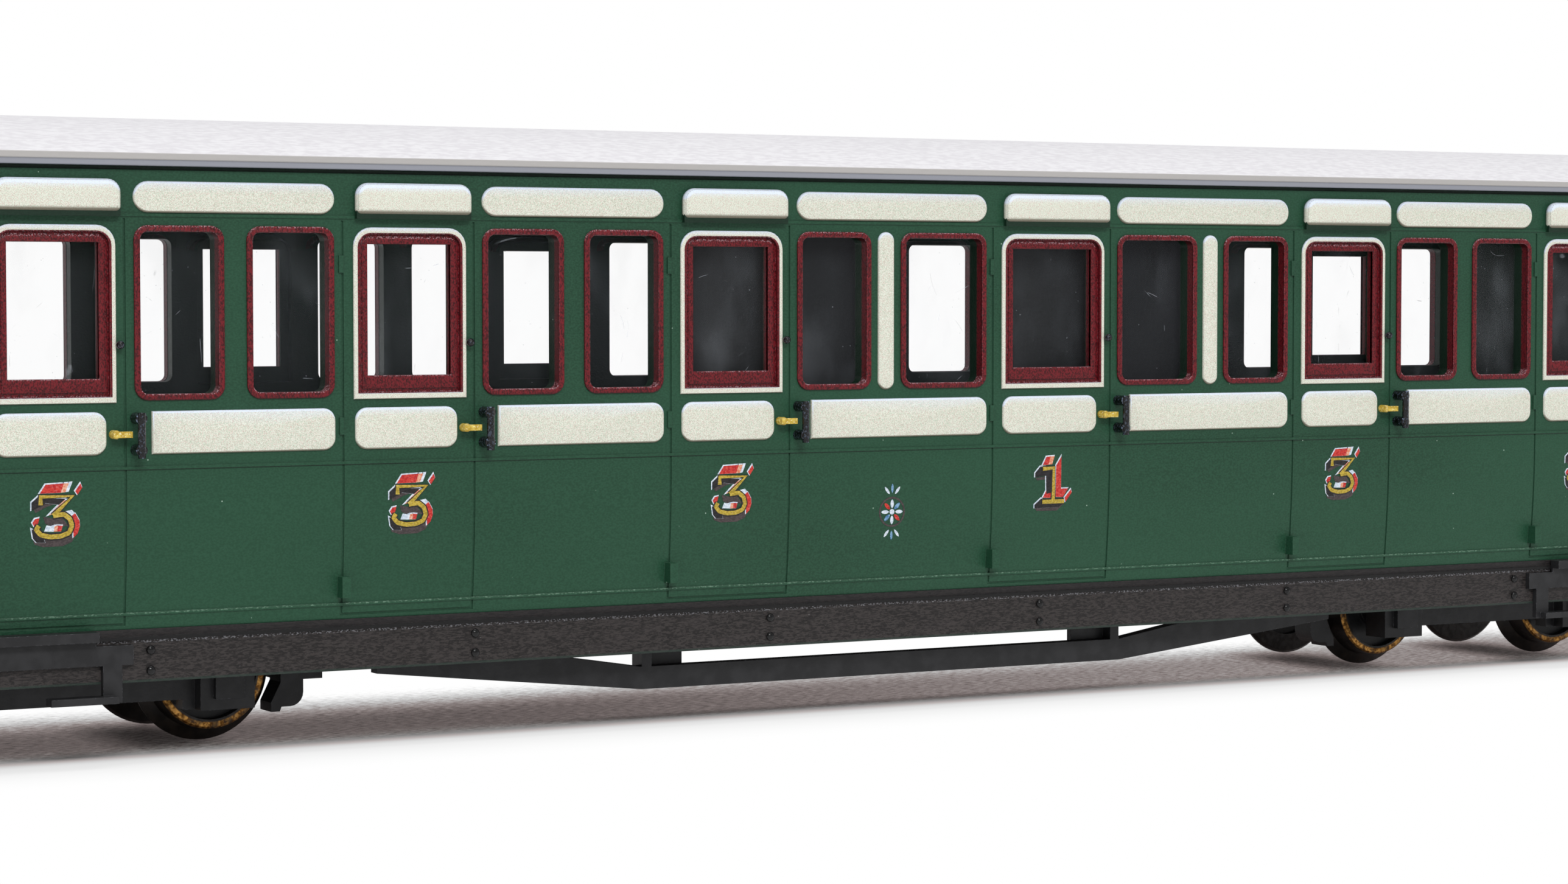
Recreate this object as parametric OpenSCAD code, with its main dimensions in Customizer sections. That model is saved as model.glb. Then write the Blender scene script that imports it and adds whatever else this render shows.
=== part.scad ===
// Narrow-gauge bogie passenger coach, 4 mm to the foot on 9 mm track.
// X runs along the coach, the near side faces -Y, Z is up from the wheel flanges.

/* [Body] */
// Width over the sides above the waist
body_w = 25; // [24:0.5:27]
// Inward curve of each side between waist and sill
tumblehome = 0.45; // [0.2:0.05:0.7]
// Thickness of the side walls
side_wall = 1.2; // [1:0.1:1.5]
// Thickness of the end walls
end_wall = 1.2; // [1:0.1:2]
// Height of the lower edge of the body
sill_z = 6.9; // [6.8:0.1:7.4]
// Height of the waist line above the sill
waist_h = 8.1; // [7.5:0.1:9]
// Height of the window openings above the waist line
window_rise = 3.5; // [3.3:0.1:4]
// Height of the sides above the windows
eaves_h = 2.8; // [2.7:0.1:3.4]

/* [Doors and windows] */
// Width of a third-class door
third_door_w = 7.45; // [7:0.05:8.2]
// Width of the first-class door
first_door_w = 8.18; // [7.5:0.05:9]
// Width of a third-class side window
third_window_w = 4.75; // [4.4:0.05:5.2]
// Width of a first-class side window
first_window_w = 5.7; // [5.2:0.05:6.2]
// Height of the windows
window_h = 8.8; // [8:0.1:9.6]
// Corner radius of the windows
window_r = 0.7; // [0.4:0.1:1]
// Space between a door and the window beside it
door_gap = 0.5; // [0.4:0.05:0.7]
// Pillar between two third-class windows
pillar_w = 1.25; // [1:0.05:1.6]
// Pillar between windows of two classes
wide_pillar_w = 2.0; // [1.8:0.05:2.6]
// Corner post outside the end windows
corner_post_w = 0.95; // [0.8:0.05:2]

/* [Mouldings] */
// Width of a raised window frame
frame_w = 0.28; // [0.2:0.02:0.36]
// Height of the raised panels and frames above the side
panel_proud = 0.12; // [0.06:0.02:0.2]
// Height of the waist panels
waist_panel_h = 2.1; // [1.8:0.1:2.3]
// Height of the panels above the windows
top_panel_h = 1.5; // [1.2:0.1:1.6]
// Projection of the ventilator hood over a door
hood_proud = 0.5; // [0.3:0.05:0.8]
// Width of the fine groove down each door edge
groove_w = 0.12; // [0.08:0.02:0.2]
// Depth of the fine groove down each door edge
groove_d = 0.08; // [0.04:0.02:0.12]

/* [Roof] */
// Rise of the roof arc above its rim
roof_rise = 2.3; // [1.8:0.1:3.2]
// Overhang of the roof at the sides and ends
roof_overhang = 0.6; // [0.3:0.1:1]
// Thickness of the roof moulding
roof_t = 1.0; // [0.8:0.1:1.2]
// Height of the upright rim of the roof
roof_rim_h = 0.65; // [0.5:0.05:0.9]

/* [Underframe] */
// Depth of the solebar below the sill
solebar_h = 2.7; // [2.5:0.1:2.8]
// Thickness of the solebar
solebar_t = 1.0; // [0.8:0.1:1.2]
// Diameter of a solebar rivet head
rivet_d = 0.42; // [0.3:0.02:0.6]
// Spacing of the rivet pairs along the solebar
rivet_pitch = 18; // [14:0.5:18]
// Half length of the level part of the truss bar
truss_level_half = 16; // [14:0.5:18]
// Half length of the whole truss bar
truss_half = 31.8; // [28:0.2:33]
// Depth of the level truss bar
truss_bar_h = 1.25; // [1:0.05:1.5]
// Height of the underside of the truss bar
truss_bottom_z = 2.0; // [1.8:0.1:2.4]
// Thickness of the truss bar
truss_t = 0.8; // [0.6:0.1:1]
// Width of a queen post
queen_post_w = 2.9; // [2:0.1:3.5]

/* [Steps] */
// Projection of the upper footboards beyond the solebar
footboard_proud = 0.9; // [0.6:0.1:1.2]
// Thickness of the footboards
footboard_t = 0.5; // [0.4:0.05:0.6]
// Distance from the coach centre to the inner end of a step unit
step_inner_x = 46.0; // [45.2:0.2:47]
// Length of the lower step board
lower_step_len = 3.5; // [3:0.1:6]

/* [Bogies] */
// Distance between the bogie pivots
bogie_centres = 93.6; // [92:0.2:94]
// Distance between the axles of a bogie
wheelbase = 14.8; // [14:0.1:15]
// Radius of the wheel tread
tread_r = 3.05; // [2.9:0.05:3.2]
// Depth of the flange below the tread
flange_h = 0.75; // [0.5:0.05:0.8]
// Distance between the backs of a pair of wheels
back_to_back = 7.4; // [7.2:0.1:7.6]
// Width of a tyre with its flange
tyre_w = 2.0; // [1.8:0.1:2.2]
// Radius of an axle between its wheels
axle_r = 0.75; // [0.6:0.05:0.9]
// Radius of an axle journal
journal_r = 0.4; // [0.3:0.05:0.5]
// Running clearance of journals, pivots and pins
running_gap = 0.05; // [0.03:0.01:0.08]
// Inner face of a bogie side frame from the centre line
side_frame_y = 6.3; // [6.2:0.1:6.8]
// Thickness of a bogie side frame
side_frame_t = 1.0; // [0.8:0.1:1.2]
// Radius of the bogie pivot screw
pivot_r = 1.0; // [0.8:0.1:1.2]

/* [Couplings] */
// Width of the buffing plate
buffing_w = 5.2; // [4.6:0.2:5.4]
// Distance from the body end to the face of the buffing plate
coupling_reach = 3.8; // [3.6:0.1:4.6]
// Distance that the loop reaches past the buffing plate
loop_reach = 2.4; // [2:0.1:3]
// Thickness of the loop's wire
loop_wire = 0.5; // [0.4:0.05:0.6]
// Radius of the loop's pin
loop_pin_r = 0.3; // [0.25:0.05:0.4]

/* [Hidden] */

$fn = 48;
eps = 0.01;

// Class of each compartment from the rear end to the front end
classes = [3, 3, 3, 1, 3, 3];
last_door = len(classes) - 1;

// Heights
waist_z = sill_z + waist_h;
window_z = waist_z + window_rise;
window_top_z = window_z + window_h;
side_top_z = window_top_z + eaves_h;
roof_gap = 0.2;
rim_z = side_top_z + roof_gap;
solebar_z = sill_z - solebar_h;
ledge_h = 0.55;
ledge_z = sill_z - ledge_h;
waist_panel_z = waist_z + 0.8;
top_panel_z = window_top_z + 0.7;
hood_z = top_panel_z + 0.2;
hood_h = 1.35;
lower_bead_z = sill_z + 0.7;
door_foot_z = sill_z + 0.2;
eaves_bead_z = top_panel_z - 0.25;
bead_h = 0.16;
bead_proud = 0.07;
rebate = 0.3;

// Widths
half_w = body_w / 2;
sill_half = half_w - tumblehome;
cavity_half = half_w - side_wall;
low_cavity_half = sill_half - side_wall;
solebar_half = sill_half + 0.1;

// Doors as [left edge, right edge, class], bays between them
door_ws = [for (c = classes) c == 1 ? first_door_w : third_door_w];
window_ws = [for (c = classes) c == 1 ? first_window_w : third_window_w];
function mixed_bay(i) = classes[i] != classes[i + 1];
function bay_width(i) = 2 * door_gap + window_ws[i] + window_ws[i + 1]
                        + (mixed_bay(i) ? wide_pillar_w : pillar_w);
end_bay_w = door_gap + third_window_w + corner_post_w;
function sum(v, i = 0) = i < len(v) ? v[i] + sum(v, i + 1) : 0;
bay_ws = [for (i = [0:last_door - 1]) bay_width(i)];
body_len = 2 * end_bay_w + sum(door_ws) + sum(bay_ws);
end_x = body_len / 2;
function door_left(i) = i == 0 ? -end_x + end_bay_w
                               : door_left(i - 1) + door_ws[i - 1] + bay_ws[i - 1];
near_doors = [for (i = [0:last_door])
              [door_left(i), door_left(i) + door_ws[i], classes[i]]];
far_doors = [for (i = [last_door:-1:0])
             [-near_doors[i][1], -near_doors[i][0], near_doors[i][2]]];
function window_width(door) = door[2] == 1 ? first_window_w : third_window_w;
function pillar_centre(left, right) = (left[1] + door_gap + window_width(left)
                                       + right[0] - door_gap - window_width(right)) / 2;

// Door window: border, sliding light and glass opening
door_frame_left = 0.6;
door_frame_right = 0.5;
stile_w = 0.52;
top_rail_h = 0.55;
bottom_rail_h = 0.9;
light_recess = 0.1;
light_t = 0.6;
door_window_z = window_z - 0.1;

// Panels and hoods, with their distances from the door edges
panel_r = 0.6;
door_panel_left = 0.7;
door_panel_right = 1.05;
handrail_space = 1.4;
pillar_panel_half = 0.475;
hood_left = 0.7;
hood_right = 0.35;
hood_r = 0.6;
skirt_extra = 0.04;
skirt_back = 0.08;

// Hinges as [distance left of the door edge, height, width, length, projection]
hinges = [[0.1, window_z + window_h - 1.9, 0.25, 0.9, 0.12],
          [0.1, waist_z + 2, 0.25, 0.9, 0.12],
          [0, sill_z + 1.7, 0.5, 1.1, 0.7]];

hinge_root = 0.15;

// Roof arc, and the step in its rim
rim_step = 0.12;
rim_step_h = 0.3;
roof_half = half_w + roof_overhang;
roof_len = body_len + 2 * roof_overhang;
roof_edge_z = rim_z + roof_rim_h;
roof_r = (roof_half * roof_half + roof_rise * roof_rise) / (2 * roof_rise);
roof_axis_z = roof_edge_z + roof_rise - roof_r;

// Wheels and bogies
wheel_r = tread_r + flange_h;
axle_z = wheel_r;
flange_top_z = 2 * wheel_r;
disc_r = tread_r - 0.5;
wheel_back = back_to_back / 2;
wheel_face = wheel_back + tyre_w;
bogie_x = bogie_centres / 2;
bolster_half = wheelbase / 2 - wheel_r - 0.3;
bolster_z = axle_z + 0.4;
bolster_top_z = bolster_z + 1.3;
frame_top_z = bolster_top_z;
frame_low_z = 2.6;
axlebox_half = 1.5;
axlebox_proud = 0.9;
axlebox_z = 2.05;
pedestal_w = 0.65;
bearing_r = journal_r + 0.45;
bearing_y = side_frame_y + side_frame_t + axlebox_proud - 0.35;
end_beam_x = wheelbase / 2 + wheel_r + 0.2;
inner_beam_t = 1.3;
outer_beam_t = 0.95;
washer_t = 0.3;
screw_head_h = 0.6;
screw_head_r = pivot_r + 0.7;

// Underframe
floor_z = flange_top_z + 0.3;
floor_t = 0.8;
web_t = 1.0;
headstock_t = 1.0;
truss_y = half_w - 2.3;
truss_rise_low = 0.108;
truss_rise_top = 0.164;

// Couplings
coupling_z = 3.2;
shank_t = 0.7;
shank_half = 1.4;
hook_face_x = end_x + coupling_reach;
loop_pin_x = end_x + 1.9;
loop_pin_z = coupling_z + 1.3;
lug_half = 1.9;
loop_half = buffing_w / 2 + 0.3;

// ---- outlines ----

// Arc of a circle as points
function arc(cx, cy, r, from, to, n = 5) =
    [for (i = [0:n]) let (a = from + (to - from) * i / n) [cx + r * cos(a), cy + r * sin(a)]];
// One corner, round or square
function corner(cx, cy, r, from) = r > 0
    ? arc(cx - r * sign(cos(from + 45)), cy - r * sign(sin(from + 45)), r, from, from + 90)
    : [[cx, cy]];
// Rectangle with its own radius at each corner: low left, low right, top right, top left
function box_outline(x0, x1, y0, y1, r) = concat(
    corner(x0, y0, r[0], 180), corner(x1, y0, r[1], 270),
    corner(x1, y1, r[2], 0), corner(x0, y1, r[3], 90));
function round_box(x0, x1, y0, y1, r) = box_outline(x0, x1, y0, y1, [r, r, r, r]);
// A ring is its outer and inner outline
function ring(x0, x1, y0, y1, w, r) = [box_outline(x0, x1, y0, y1, r),
    box_outline(x0 + w, x1 - w, y0 + w, y1 - w, [for (c = r) max(c - w, 0)])];

function join(lists) = [for (l = lists) each l];
function start(lists, i) = i == 0 ? 0 : start(lists, i - 1) + len(lists[i - 1]);
// Several outlines as one region: an outline inside another is a hole in it
module region(outlines) {
    polygon(join(outlines), [for (i = [0:len(outlines) - 1])
        [for (k = [0:len(outlines[i]) - 1]) start(outlines, i) + k]]);
}
// Plate upright on the near side, from its inner face outwards
module side_plate(inner_y, t, outlines) {
    translate([0, -inner_y, 0]) rotate([90, 0, 0]) linear_extrude(t) region(outlines);
}
// Shape drawn in the Y-Z plane and run along X
module along_x(x0, x1) {
    translate([x0, 0, 0]) rotate([90, 0, 90]) linear_extrude(x1 - x0) children();
}
module block(x0, x1, y0, y1, z0, z1) {
    translate([x0, y0, z0]) cube([x1 - x0, y1 - y0, z1 - z0]);
}
module both_sides() {
    children();
    rotate([0, 0, 180]) children();
}
module rod_y(r, y0, y1) {
    translate([0, y0, 0]) rotate([-90, 0, 0]) cylinder(r = r, h = y1 - y0);
}

// Half width of the side at a height: straight above the waist, curved in below it
function side_half(z) = z >= waist_z ? half_w
    : half_w - tumblehome * pow((waist_z - z) / waist_h, 2);
side_steps = 12;
side_curve = [for (i = [0:side_steps]) sill_z + waist_h * i / side_steps];

// ---- side of the body, drawn as seen from outside ----

function window_boxes(door) = let (w = window_width(door))
    [[door[0] - door_gap - w, door[0] - door_gap], [door[1] + door_gap, door[1] + door_gap + w]];
function window_openings(doors) = [for (d = doors) for (b = window_boxes(d))
    round_box(b[0] + frame_w, b[1] - frame_w, window_z + frame_w, window_top_z - frame_w,
              window_r - frame_w)];
function door_window_box(d) = [d[0] + door_frame_left, d[1] - door_frame_right];
function door_openings(doors) = [for (d = doors) let (b = door_window_box(d))
    box_outline(b[0] + frame_w, b[1] - frame_w, door_window_z + frame_w, window_top_z - frame_w,
                [0, 0, window_r, window_r])];

function window_frames(doors) = join([for (d = doors) for (b = window_boxes(d))
    ring(b[0], b[1], window_z, window_top_z, frame_w, [1, 1, 1, 1] * window_r)]);
function door_frames(doors) = join([for (d = doors) let (b = door_window_box(d))
    ring(b[0], b[1], door_window_z, window_top_z, frame_w,
         [0, 0, window_r + frame_w, window_r + frame_w])]);
function door_waist_panels(doors) = [for (d = doors)
    round_box(d[0] + door_panel_left, d[1] - door_panel_right,
              waist_panel_z, waist_panel_z + waist_panel_h, panel_r)];
function bay_waist_panels(doors) = concat(
    [round_box(-end_x + corner_post_w, doors[0][0] - door_gap, waist_panel_z,
               waist_panel_z + waist_panel_h, panel_r)],
    [for (i = [0:last_door])
     box_outline(doors[i][1] + handrail_space,
                 i < last_door ? doors[i + 1][0] - door_gap : end_x - corner_post_w,
                 waist_panel_z, waist_panel_z + waist_panel_h, [0, panel_r, panel_r, 0])]);
function top_panels(doors) = concat(
    [round_box(-end_x + corner_post_w, doors[0][0] - door_gap, top_panel_z,
               top_panel_z + top_panel_h, top_panel_h / 2)],
    [for (i = [0:last_door])
     round_box(doors[i][1] + door_gap,
               i < last_door ? doors[i + 1][0] - door_gap : end_x - corner_post_w,
               top_panel_z, top_panel_z + top_panel_h, top_panel_h / 2)]);
function pillar_panels(doors) = [for (i = [0:last_door - 1])
    if (doors[i][2] != doors[i + 1][2]) let (c = pillar_centre(doors[i], doors[i + 1]))
    round_box(c - pillar_panel_half, c + pillar_panel_half, window_z, window_top_z,
              pillar_panel_half)];
function hoods(doors) = [for (d = doors)
    box_outline(d[0] + hood_left, d[1] - hood_right, hood_z, hood_z + hood_h,
                [0, 0, hood_r, hood_r])];
function light_rings(doors) = join([for (d = doors) let (b = door_window_box(d))
    [box_outline(b[0] + frame_w, b[1] - frame_w, door_window_z + frame_w,
                 window_top_z - frame_w, [0, 0, window_r, window_r]),
     box_outline(b[0] + frame_w + stile_w, b[1] - frame_w - stile_w,
                 door_window_z + frame_w + bottom_rail_h,
                 window_top_z - frame_w - top_rail_h, [0, 0, 0, 0])]]);

// Strip of the side between two heights, lying on its surface
module side_strip(x0, x1, z0, z1, inner, outer) {
    zs = concat([z0], [for (z = side_curve) if (z > z0 + eps && z < z1 - eps) z], [z1]);
    along_x(x0, x1) polygon(concat(
        [for (z = zs) [-side_half(z) - outer, z]],
        [for (i = [len(zs) - 1:-1:0]) [-side_half(zs[i]) + inner, zs[i]]]));
}

module door_grooves(doors) {
    for (d = doors) {
        for (x = [d[0], d[1]])
            side_strip(x - groove_w / 2, x + groove_w / 2, door_foot_z, eaves_bead_z - 0.1,
                       groove_d, 1);
        side_strip(d[0], d[1], door_foot_z, door_foot_z + groove_w, groove_d, 1);
    }
}

module hinge(door_x, h) {
    x = door_x - h[0];
    y = side_half(h[1]);
    block(x - h[2] / 2, x + h[2] / 2, -y - h[4], -y + groove_d + hinge_root,
          h[1] - h[3] / 2, h[1] + h[3] / 2);
}

module side_wall_shape(doors) {
    difference() {
        union() {
            // lower side, curved in towards the sill
            along_x(-end_x, end_x) polygon(concat(
                [for (z = side_curve) [-side_half(z), z]],
                [[-low_cavity_half, waist_z], [-low_cavity_half, sill_z]]));
            // upper side with its window openings
            side_plate(cavity_half, side_wall, concat(
                [round_box(-end_x, end_x, waist_z, side_top_z, 0)],
                window_openings(doors), door_openings(doors)));
            // rebate that carries the roof
            side_plate(cavity_half, side_wall - rebate,
                       [round_box(-end_x + rebate, end_x - rebate, side_top_z - eps, rim_z, 0)]);
        }
        door_grooves(doors);
    }
    // sliding lights in the doors
    side_plate(half_w - light_recess - light_t, light_t, light_rings(doors));
    // raised frames and panels
    side_plate(half_w - eps, panel_proud + eps, concat(window_frames(doors),
        door_frames(doors), door_waist_panels(doors), bay_waist_panels(doors),
        top_panels(doors), pillar_panels(doors)));
    side_plate(half_w - eps, hood_proud + eps, hoods(doors));
    for (d = doors) block(d[0] + hood_left - skirt_extra, d[1] - hood_right + skirt_extra,
                          -half_w - hood_proud + skirt_back, -half_w + eps,
                          eaves_bead_z, hood_z + eps);
    // beads under the eaves panels, along the waist and above the sill
    side_strip(-end_x, end_x, eaves_bead_z, eaves_bead_z + bead_h, eps, bead_proud);
    side_strip(-end_x, end_x, waist_z, waist_z + bead_h, eps, bead_proud);
    side_strip(-end_x, end_x, lower_bead_z, lower_bead_z + bead_h, eps, bead_proud);
    for (d = doors) for (h = hinges) hinge(d[0], h);
}

// Cross-section of the coach end: sides, and the arc under the roof
end_arc_steps = 16;
function roof_under_z(y) = roof_axis_z + sqrt(pow(roof_r - roof_t, 2) - y * y);
module end_outline() {
    top_half = half_w - rebate;
    polygon(concat(
        [for (z = side_curve) [-side_half(z), z]], [[-half_w, side_top_z], [-top_half, side_top_z]],
        [for (i = [0:end_arc_steps]) let (y = top_half * (2 * i / end_arc_steps - 1))
         [y, max(roof_under_z(y), side_top_z + eps)]],
        [[top_half, side_top_z], [half_w, side_top_z]],
        [for (i = [side_steps:-1:0]) [side_half(side_curve[i]), side_curve[i]]]));
}

// Upright beads and a waist bead on a coach end
end_bead_ys = [-7.5, -2.5, 2.5, 7.5];
end_bead_w = 0.5;
end_bead_gap = 0.3;
module end_beads() {
    for (y = end_bead_ys)
        block(end_x - eps, end_x + panel_proud, y - end_bead_w / 2, y + end_bead_w / 2,
              sill_z + end_bead_gap, side_top_z - end_bead_gap);
    for (z = [waist_z, side_top_z - end_bead_gap - end_bead_w])
        block(end_x - eps, end_x + panel_proud, -half_w + end_bead_gap, half_w - end_bead_gap,
              z, z + end_bead_w);
}

module body_shell() {
    color("darkgreen") {
        side_wall_shape(near_doors);
        rotate([0, 0, 180]) side_wall_shape(far_doors);
        for (turn = [0, 180]) rotate([0, 0, turn]) {
            along_x(end_x - end_wall, end_x) end_outline();
            end_beads();
        }
    }
}

module roof() {
    rim_half = roof_half - rim_step;
    rim_end = roof_len / 2 - rim_step;
    color("lightgray") difference() {
        union() {
            intersection() {
                translate([-roof_len / 2, 0, roof_axis_z]) rotate([0, 90, 0])
                    cylinder(r = roof_r, h = roof_len, $fn = 128);
                block(-roof_len / 2, roof_len / 2, -roof_half, roof_half,
                      rim_z + rim_step_h, roof_edge_z + roof_rise + 1);
            }
            block(-rim_end, rim_end, -rim_half, rim_half, rim_z, rim_z + rim_step_h + eps);
        }
        translate([-roof_len / 2 - 1, 0, roof_axis_z]) rotate([0, 90, 0])
            cylinder(r = roof_r - roof_t, h = roof_len + 2, $fn = 128);
    }
}

// ---- inside the body ----

glazing_t = 0.7;
glazing_top_gap = 0.6;
module glazing() {
    color("lightblue", 0.4)
        block(-end_x + end_wall, end_x - end_wall, -cavity_half, -cavity_half + glazing_t,
              waist_z, rim_z - glazing_top_gap);
}
module glazing_near() glazing();
module glazing_far() rotate([0, 0, 180]) glazing();

// Lines between compartments, rear to front
partition_xs = [for (i = [0:last_door - 1]) pillar_centre(near_doors[i], near_doors[i + 1])];
first_index = search(1, classes)[0];
inner_end_x = end_x - end_wall;
ballast_t = 1.0;
tray_z = floor_z + floor_t + ballast_t;
tray_t = 0.8;
seat_h = 3.6;
seat_depth = 2.6;
seat_back_h = 7;
seat_back_t = 0.7;
partition_t = 0.8;
partition_top_gap = 0.3;
fit_gap = 0.05;
tray_half = low_cavity_half - fit_gap;
bench_half = tray_half - 0.3;
rail_w = 1.0;
ballast_half_len = 30;
ballast_half_w = tray_half - rail_w - 1;
seat_walls = concat([-inner_end_x], partition_xs, [inner_end_x]);

// Bench with its back against x, facing the given way
module bench(x, facing) {
    gap = partition_t / 2;
    x0 = x + facing * gap;
    block(min(x0, x0 + facing * seat_back_t), max(x0, x0 + facing * seat_back_t),
          -bench_half, bench_half, tray_z + tray_t - eps, tray_z + tray_t + seat_back_h);
    x1 = x0 + facing * seat_back_t;
    block(min(x1 - facing * eps, x1 + facing * seat_depth),
          max(x1 - facing * eps, x1 + facing * seat_depth),
          -bench_half, bench_half, tray_z + tray_t - eps, tray_z + tray_t + seat_h);
}

module interior_seats() {
    color("dimgray") {
        block(-inner_end_x, inner_end_x, -tray_half, tray_half, tray_z, tray_z + tray_t);
        for (s = [-1, 1])
            block(-inner_end_x, inner_end_x, s > 0 ? tray_half - rail_w : -tray_half,
                  s > 0 ? tray_half : -tray_half + rail_w, floor_z + floor_t, tray_z + eps);
        for (i = [0:last_door]) {
            bench(seat_walls[i], 1);
            bench(seat_walls[i + 1], -1);
        }
    }
}

module partition(x) {
    y = cavity_half - glazing_t - fit_gap;
    color("dimgray") {
        block(x - partition_t / 2, x + partition_t / 2, -tray_half, tray_half,
              tray_z + tray_t, waist_z);
        block(x - partition_t / 2, x + partition_t / 2, -min(y, tray_half), min(y, tray_half),
              waist_z - eps, rim_z - partition_top_gap);
    }
}
module partition_rear() partition(partition_xs[first_index - 1]);
module partition_front() partition(partition_xs[first_index]);

module ballast_plate() {
    color("silver")
        block(-ballast_half_len, ballast_half_len, -ballast_half_w, ballast_half_w,
              floor_z + floor_t, tray_z);
}

// ---- underframe ----

ledge_lip_h = 0.18;
ledge_lip = 0.15;
rivet_margins = [0.58, 0.53];
rivet_proud = 0.14;
frame_half = low_cavity_half - fit_gap;
module solebar() {
    // upright face, and the ledge that the body stands on
    block(-end_x, end_x, -solebar_half, -solebar_half + solebar_t, solebar_z, sill_z);
    block(-end_x, end_x, -solebar_half, -low_cavity_half + web_t, ledge_z, sill_z);
    block(-end_x, end_x, -solebar_half - ledge_lip, -solebar_half + eps,
          ledge_z, ledge_z + ledge_lip_h);
    block(-inner_end_x, inner_end_x, -frame_half, -low_cavity_half + web_t,
          ledge_z, floor_z + floor_t);
    rivet_columns = floor((step_inner_x - 1 - rivet_pitch / 2) / rivet_pitch);
    for (i = [0:rivet_columns]) for (s = [-1, 1]) for (z = [solebar_z + rivet_margins[0],
                                                                   ledge_z - rivet_margins[1]])
        translate([s * rivet_pitch * (i + 0.5), -solebar_half, z]) rotate([90, 0, 0])
            cylinder(d = rivet_d, h = rivet_proud);
}

end_web_t = 1.0;
pivot_hole_r = pivot_r + 0.02;
boss_r = pivot_r + 1;
washer_top_z = bolster_top_z + running_gap + washer_t;
module underframe() {
    color("dimgray") difference() {
        union() {
            both_sides() solebar();
            block(-inner_end_x, inner_end_x, -frame_half, frame_half, floor_z, floor_z + floor_t);
            // headstocks, and the webs that close the frame behind them
            both_sides() {
                block(end_x - headstock_t, end_x, -solebar_half, solebar_half, solebar_z, sill_z);
                block(inner_end_x - end_web_t, end_x - headstock_t + eps, -frame_half, frame_half,
                      ledge_z, sill_z);
                block(inner_end_x - end_web_t, inner_end_x, -frame_half, frame_half,
                      ledge_z, floor_z + floor_t);
                translate([bogie_x, 0, washer_top_z])
                    cylinder(r = boss_r, h = floor_z + eps - washer_top_z);
            }
        }
        both_sides() translate([bogie_x, 0, washer_top_z - 1])
            cylinder(r = pivot_hole_r, h = floor_z + floor_t - washer_top_z + 2);
    }
}

// Truss bar with its two queen posts and the anchors at its ends
anchor_len = 3;
post_lip_w = 0.6;
post_back_t = 0.4;
post_rise = 0.2;
module truss() {
    run = truss_half - truss_level_half;
    half = [[truss_level_half, truss_bottom_z],
            [truss_half, truss_bottom_z + truss_rise_low * run],
            [truss_half, ledge_z], [truss_half - anchor_len, ledge_z],
            [truss_half - anchor_len,
             truss_bottom_z + truss_bar_h + truss_rise_top * (run - anchor_len)],
            [truss_level_half, truss_bottom_z + truss_bar_h]];
    color("dimgray") {
        side_plate(truss_y - truss_t, truss_t, [concat(half,
            [for (i = [len(half) - 1:-1:0]) [-half[i][0], half[i][1]]])]);
        for (s = [0, 1]) mirror([s, 0, 0]) {
            block(truss_level_half - queen_post_w, truss_level_half, -truss_y + truss_t - eps,
                  -truss_y + truss_t + post_back_t, truss_bottom_z + post_rise, ledge_z);
            block(truss_level_half - post_lip_w, truss_level_half, -truss_y,
                  -truss_y + truss_t + eps, truss_bottom_z + truss_bar_h - eps, ledge_z);
        }
    }
}
module truss_near() truss();
module truss_far() rotate([0, 0, 180]) truss();

// ---- steps over the bogies, as at the front end of the near side ----

backing_t = 0.35;
step_face = solebar_half + backing_t;
step_end_x = end_x - headstock_t;
board_inset = 1.95;
backing_h = 1.0;
backing_drop = 0.25;
inner_hanger = [0.6, 1.6];
outer_hanger = [6.9, 7.9];
lower_step_z = 3.27;
lower_step_t = 0.36;
lower_step_inset = 0.95;
module step_unit() {
    board_z = ledge_z + 0.05;
    color("dimgray") {
        // upper footboard
        block(step_inner_x + board_inset, step_end_x, -solebar_half - footboard_proud,
              -solebar_half - ledge_lip, board_z, board_z + footboard_t);
        // backing strip against the solebar
        block(step_inner_x, step_end_x, -step_face, -solebar_half,
              board_z - backing_drop - backing_h, board_z - backing_drop);
        block(step_inner_x + board_inset, step_end_x, -step_face, -solebar_half - ledge_lip,
              board_z - backing_drop - eps, board_z + eps);
        // hangers and lower step
        block(step_inner_x + inner_hanger[0], step_inner_x + inner_hanger[1], -step_face,
              -solebar_half, lower_step_z, board_z - backing_h);
        block(step_inner_x + outer_hanger[0], step_inner_x + outer_hanger[1], -step_face,
              -solebar_half, solebar_z, board_z - backing_h);
        block(step_inner_x + lower_step_inset, step_inner_x + lower_step_inset + lower_step_len,
              -solebar_half - footboard_proud, -solebar_half,
              lower_step_z, lower_step_z + lower_step_t);
    }
}
module step_front_near() step_unit();
module step_rear_near() mirror([1, 0, 0]) step_unit();
module step_front_far() mirror([0, 1, 0]) step_unit();
module step_rear_far() rotate([0, 0, 180]) step_unit();

// ---- fittings on the sides ----

handrail_proud = 1.1;
handrail_r = 0.2;
handrail_low_z = waist_z + 0.6;
handrail_high_z = waist_z + 2.9;
handrail_x = 0.55;
handrail_knob_r = 0.3;
module handrails(doors) {
    color("black") for (d = doors) translate([d[1] + handrail_x, -half_w, 0]) {
        translate([0, -handrail_proud + handrail_r, handrail_low_z])
            cylinder(r = handrail_r, h = handrail_high_z - handrail_low_z);
        for (z = [handrail_low_z + 0.4, handrail_high_z - 0.3]) translate([0, 0, z])
            rod_y(handrail_knob_r, -handrail_proud + handrail_r, 0);
    }
}
module handrails_near() handrails(near_doors);
module handrails_far() rotate([0, 0, 180]) handrails(far_doors);

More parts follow.
